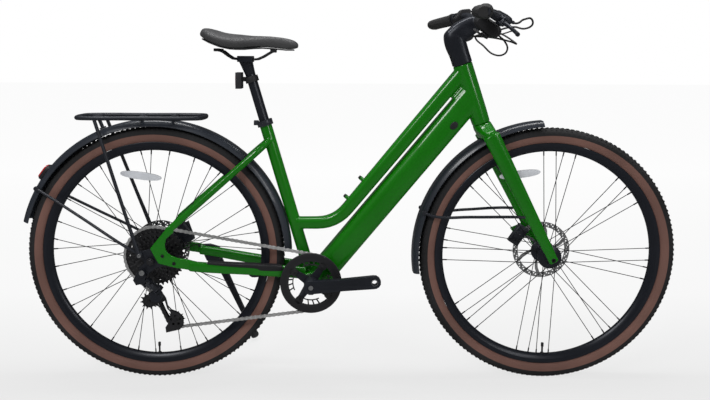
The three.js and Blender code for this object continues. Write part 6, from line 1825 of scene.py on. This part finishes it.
@dataclass
class Studio:
    """The floor, the light and the camera.

    Attributes:
        camera_place: The camera, in millimetres from the rear axle, mid-plane and ground.
        yaw, pitch, roll: Its turn in degrees.
        focal_share: Focal length as a share of the image's width.
        shift: Lens shift as shares of the width.
        floor_levels: How bright the floor looks, as (share of its depth, grey) stops from the bike back.
        room_levels: How bright the room is as light and in reflections.
        sensor: Width of the camera's sensor.
    """

    camera_place: Triple = (445.5, -1759.9, 891.2)
    yaw: float = 0.24
    pitch: float = 5.86
    roll: float = 0.21
    focal_share: float = 654.0 / 710.0
    shift: Pair = (0.0462, -0.1076)
    floor_levels: tuple[Pair, ...] = ((0.0, 0.765), (0.118, 0.84), (0.22, 0.9), (0.64, 0.96), (1.0, 1.0))
    room_levels: Pair = (0.3, 0.1)
    sensor: float = 36

    def camera(self) -> None:
        """Places the camera where the photograph was taken."""
        yaw, pitch, roll = (math.radians(a) for a in (self.yaw, self.pitch, self.roll))
        ahead = Vector((math.sin(yaw) * math.cos(pitch), math.cos(yaw) * math.cos(pitch), -math.sin(pitch)))
        right = ahead.cross(Vector((0, 0, 1))).normalized()
        up = right.cross(ahead)
        level = right * math.cos(roll) + up * math.sin(roll)
        crown = up * math.cos(roll) - right * math.sin(roll)
        data = bpy.data.cameras.new("camera")
        data.sensor_fit = "HORIZONTAL"
        data.sensor_width = self.sensor
        data.lens = self.sensor * self.focal_share
        data.shift_x, data.shift_y = self.shift
        data.clip_end = 60
        camera = bpy.data.objects.new("camera", data)
        turn = Matrix((level, crown, -ahead)).transposed().to_4x4()
        camera.matrix_world = Matrix.Translation(at(*self.camera_place)) @ turn
        bpy.context.scene.collection.objects.link(camera)
        bpy.context.scene.camera = camera

    def floor(self) -> None:
        """Makes the pale floor: nearly shadowless and fading to white for the camera, dull in reflections."""
        clear()
        bpy.ops.mesh.primitive_plane_add(size=40, location=(0, 0, 0))
        floor = bpy.context.object
        floor.name = "floor"
        material = bpy.data.materials.new("pale_floor")
        material.use_nodes = True
        tree = material.node_tree
        shader = tree.nodes["Principled BSDF"]
        shader.inputs["Roughness"].default_value = 0.9
        shader.inputs["Specular IOR Level"].default_value = 0.1
        rays = add_node(tree, "LightPath")
        dull = mapped(tree, rays.outputs["Is Glossy Ray"], (0.0, 1.0), (0.75, 0.16))
        tree.links.new(dull, shader.inputs["Base Color"])
        place, apart = add_node(tree, "TexCoord"), add_node(tree, "SeparateXYZ")
        tree.links.new(place.outputs["Object"], apart.inputs["Vector"])
        glow, ramp = add_node(tree, "Emission", Strength=1.07), add_node(tree, "ValToRGB")
        stops = ramp.color_ramp.elements
        for where, _ in self.floor_levels[1:-1]:
            stops.new(where)
        for stop, (where, grey) in zip(stops, self.floor_levels):
            stop.position = where
            stop.color = (grey, grey, grey, 1)
        tree.links.new(mapped(tree, apart.outputs["Y"], (-0.1, 3.2), (0.0, 1.0)), ramp.inputs["Fac"])
        tree.links.new(ramp.outputs["Color"], glow.inputs["Color"])
        share = mapped(tree, rays.outputs["Is Camera Ray"], (0.0, 1.0), (0.0, 0.88))
        mix = add_node(tree, "MixShader")
        tree.links.new(share, mix.inputs["Fac"])
        tree.links.new(shader.outputs["BSDF"], mix.inputs[1])
        tree.links.new(glow.outputs["Emission"], mix.inputs[2])
        tree.links.new(mix.outputs["Shader"], tree.nodes["Material Output"].inputs["Surface"])
        floor.data.materials.append(material)

    def lamp(self, name: str, place: Triple, size: Pair, power: float) -> None:
        """Hangs one area lamp that looks at the bike's middle."""
        data = bpy.data.lights.new(name, "AREA")
        data.shape = "RECTANGLE"
        data.size, data.size_y = size
        data.energy = power
        lamp = bpy.data.objects.new(name, data)
        lamp.location = Vector(place)
        lamp.rotation_euler = (Vector((0, 0, 0.5)) - lamp.location).to_track_quat("-Z", "Y").to_euler()
        bpy.context.scene.collection.objects.link(lamp)

    def world(self) -> None:
        """A white surrounding for the camera, a soft one for light and a dim one for reflections."""
        world = bpy.data.worlds.new("white_room")
        bpy.context.scene.world = world
        world.use_nodes = True
        tree = world.node_tree
        sky = tree.nodes["Background"]
        sky.inputs["Color"].default_value = (1, 1, 1, 1)
        rays, total = add_node(tree, "LightPath"), add_node(tree, "Math")
        total.operation = "MAXIMUM"
        for number, (ray, levels) in enumerate((("Is Glossy Ray", self.room_levels), ("Is Camera Ray", (0.0, 1.0)))):
            tree.links.new(mapped(tree, rays.outputs[ray], (0.0, 1.0), levels), total.inputs[number])
        tree.links.new(total.outputs["Value"], sky.inputs["Strength"])

    def build(self) -> None:
        """Sets up the whole studio."""
        self.camera()
        self.floor()
        self.world()
        self.lamp("key_lamp", (-1.6, -2.6, 3.0), (1.4, 0.9), 58)
        self.lamp("fill_lamp", (2.4, -2.8, 1.8), (0.5, 1.6), 22)
        self.lamp("top_lamp", (0.0, 0.1, 3.0), (3.2, 0.4), 75)
        bpy.context.scene.view_settings.view_transform = "Standard"


FINED = (
    FinedNode("dropout_insert_right", ANODISED, 0.4),
    FinedNode("seat_clamp", ANODISED, 0.4),
    FinedNode("rear_axle", BLACK_STEEL, 0.3),
    FinedNode("rear_brake_caliper", ANODISED, 0.6),
    FinedNode("front_brake_caliper", ANODISED, 0.6),
    FinedNode("derailleur_link_outer", ANODISED, 0.3),
    FinedNode("derailleur_link_inner", ANODISED, 0.3),
    FinedNode("guide_pulley", MOULDED),
    FinedNode("tension_pulley", MOULDED),
    FinedNode("post_reflector", MOULDED, 0.8),
    FinedNode("handlebar", ANODISED, smooth=60),
    FinedNode("crank_right", ANODISED, 1.2),
    FinedNode("crank_left", ANODISED, 1.2),
    FinedNode("headset_upper_bearing", STEEL),
    FinedNode("headset_lower_bearing", STEEL),
    FinedNode("bottom_bracket", BLACK_STEEL),
    FinedNode("crank_spindle", STEEL),
    FinedNode("derailleur_mount", ANODISED, voxel=0.6, rounds=3),
    FinedNode("derailleur_knuckle", ANODISED, voxel=0.6, rounds=3),
    FinedNode("seat_post", ANODISED, voxel=1.1, rounds=2),
    FinedNode("saddle_shell", MOULDED, voxel=1.1, rounds=2),
    FinedNode("grip_left", GRIP_SKIN, voxel=1.2, rounds=8),
    FinedNode("grip_right", GRIP_SKIN, voxel=1.2, rounds=8),
)


def main() -> None:
    """Builds every piece in order."""
    logging.basicConfig(level=logging.INFO, format="%(message)s")
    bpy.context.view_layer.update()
    for part in (
            Studio(), Frame(), Fork(),
            Wheel("front", FRONT_AXLE, 32, 1.35, 29, (-29, 29), FRONT_HUB, 40),
            Wheel("rear", REAR_AXLE, 36, 0.9, 61, (-16, 23), REAR_HUB, 46),
            Fender("rear_fender", REAR_AXLE, 2, 165.5, "frame", 17),
            Fender("front_fender", FRONT_AXLE, 94, 188, "steering", 14),
            FenderStay("rear_fender_stay", REAR_AXLE, at(EYELET[0], 0, EYELET[1]), 77.6, 149.5, "frame", True),
            FenderStay("front_fender_stay", FRONT_AXLE, at(994, 0, 467), 55, 160.5, "steering", False),
            Rack(), Reflectors()):
        part.build()
    pins = Chain().build()
    for part in (
            Cassette(held_phase(pins, AXLE, COGS[0])), ChainSet(held_phase(pins, BRACKET, RING_TEETH)), Saddle(),
            Stem(), BarControls(), Kickstand(), DriveTrim(), *HOSES, *FINED):
        part.build()


if __name__ == "__main__":
    main()
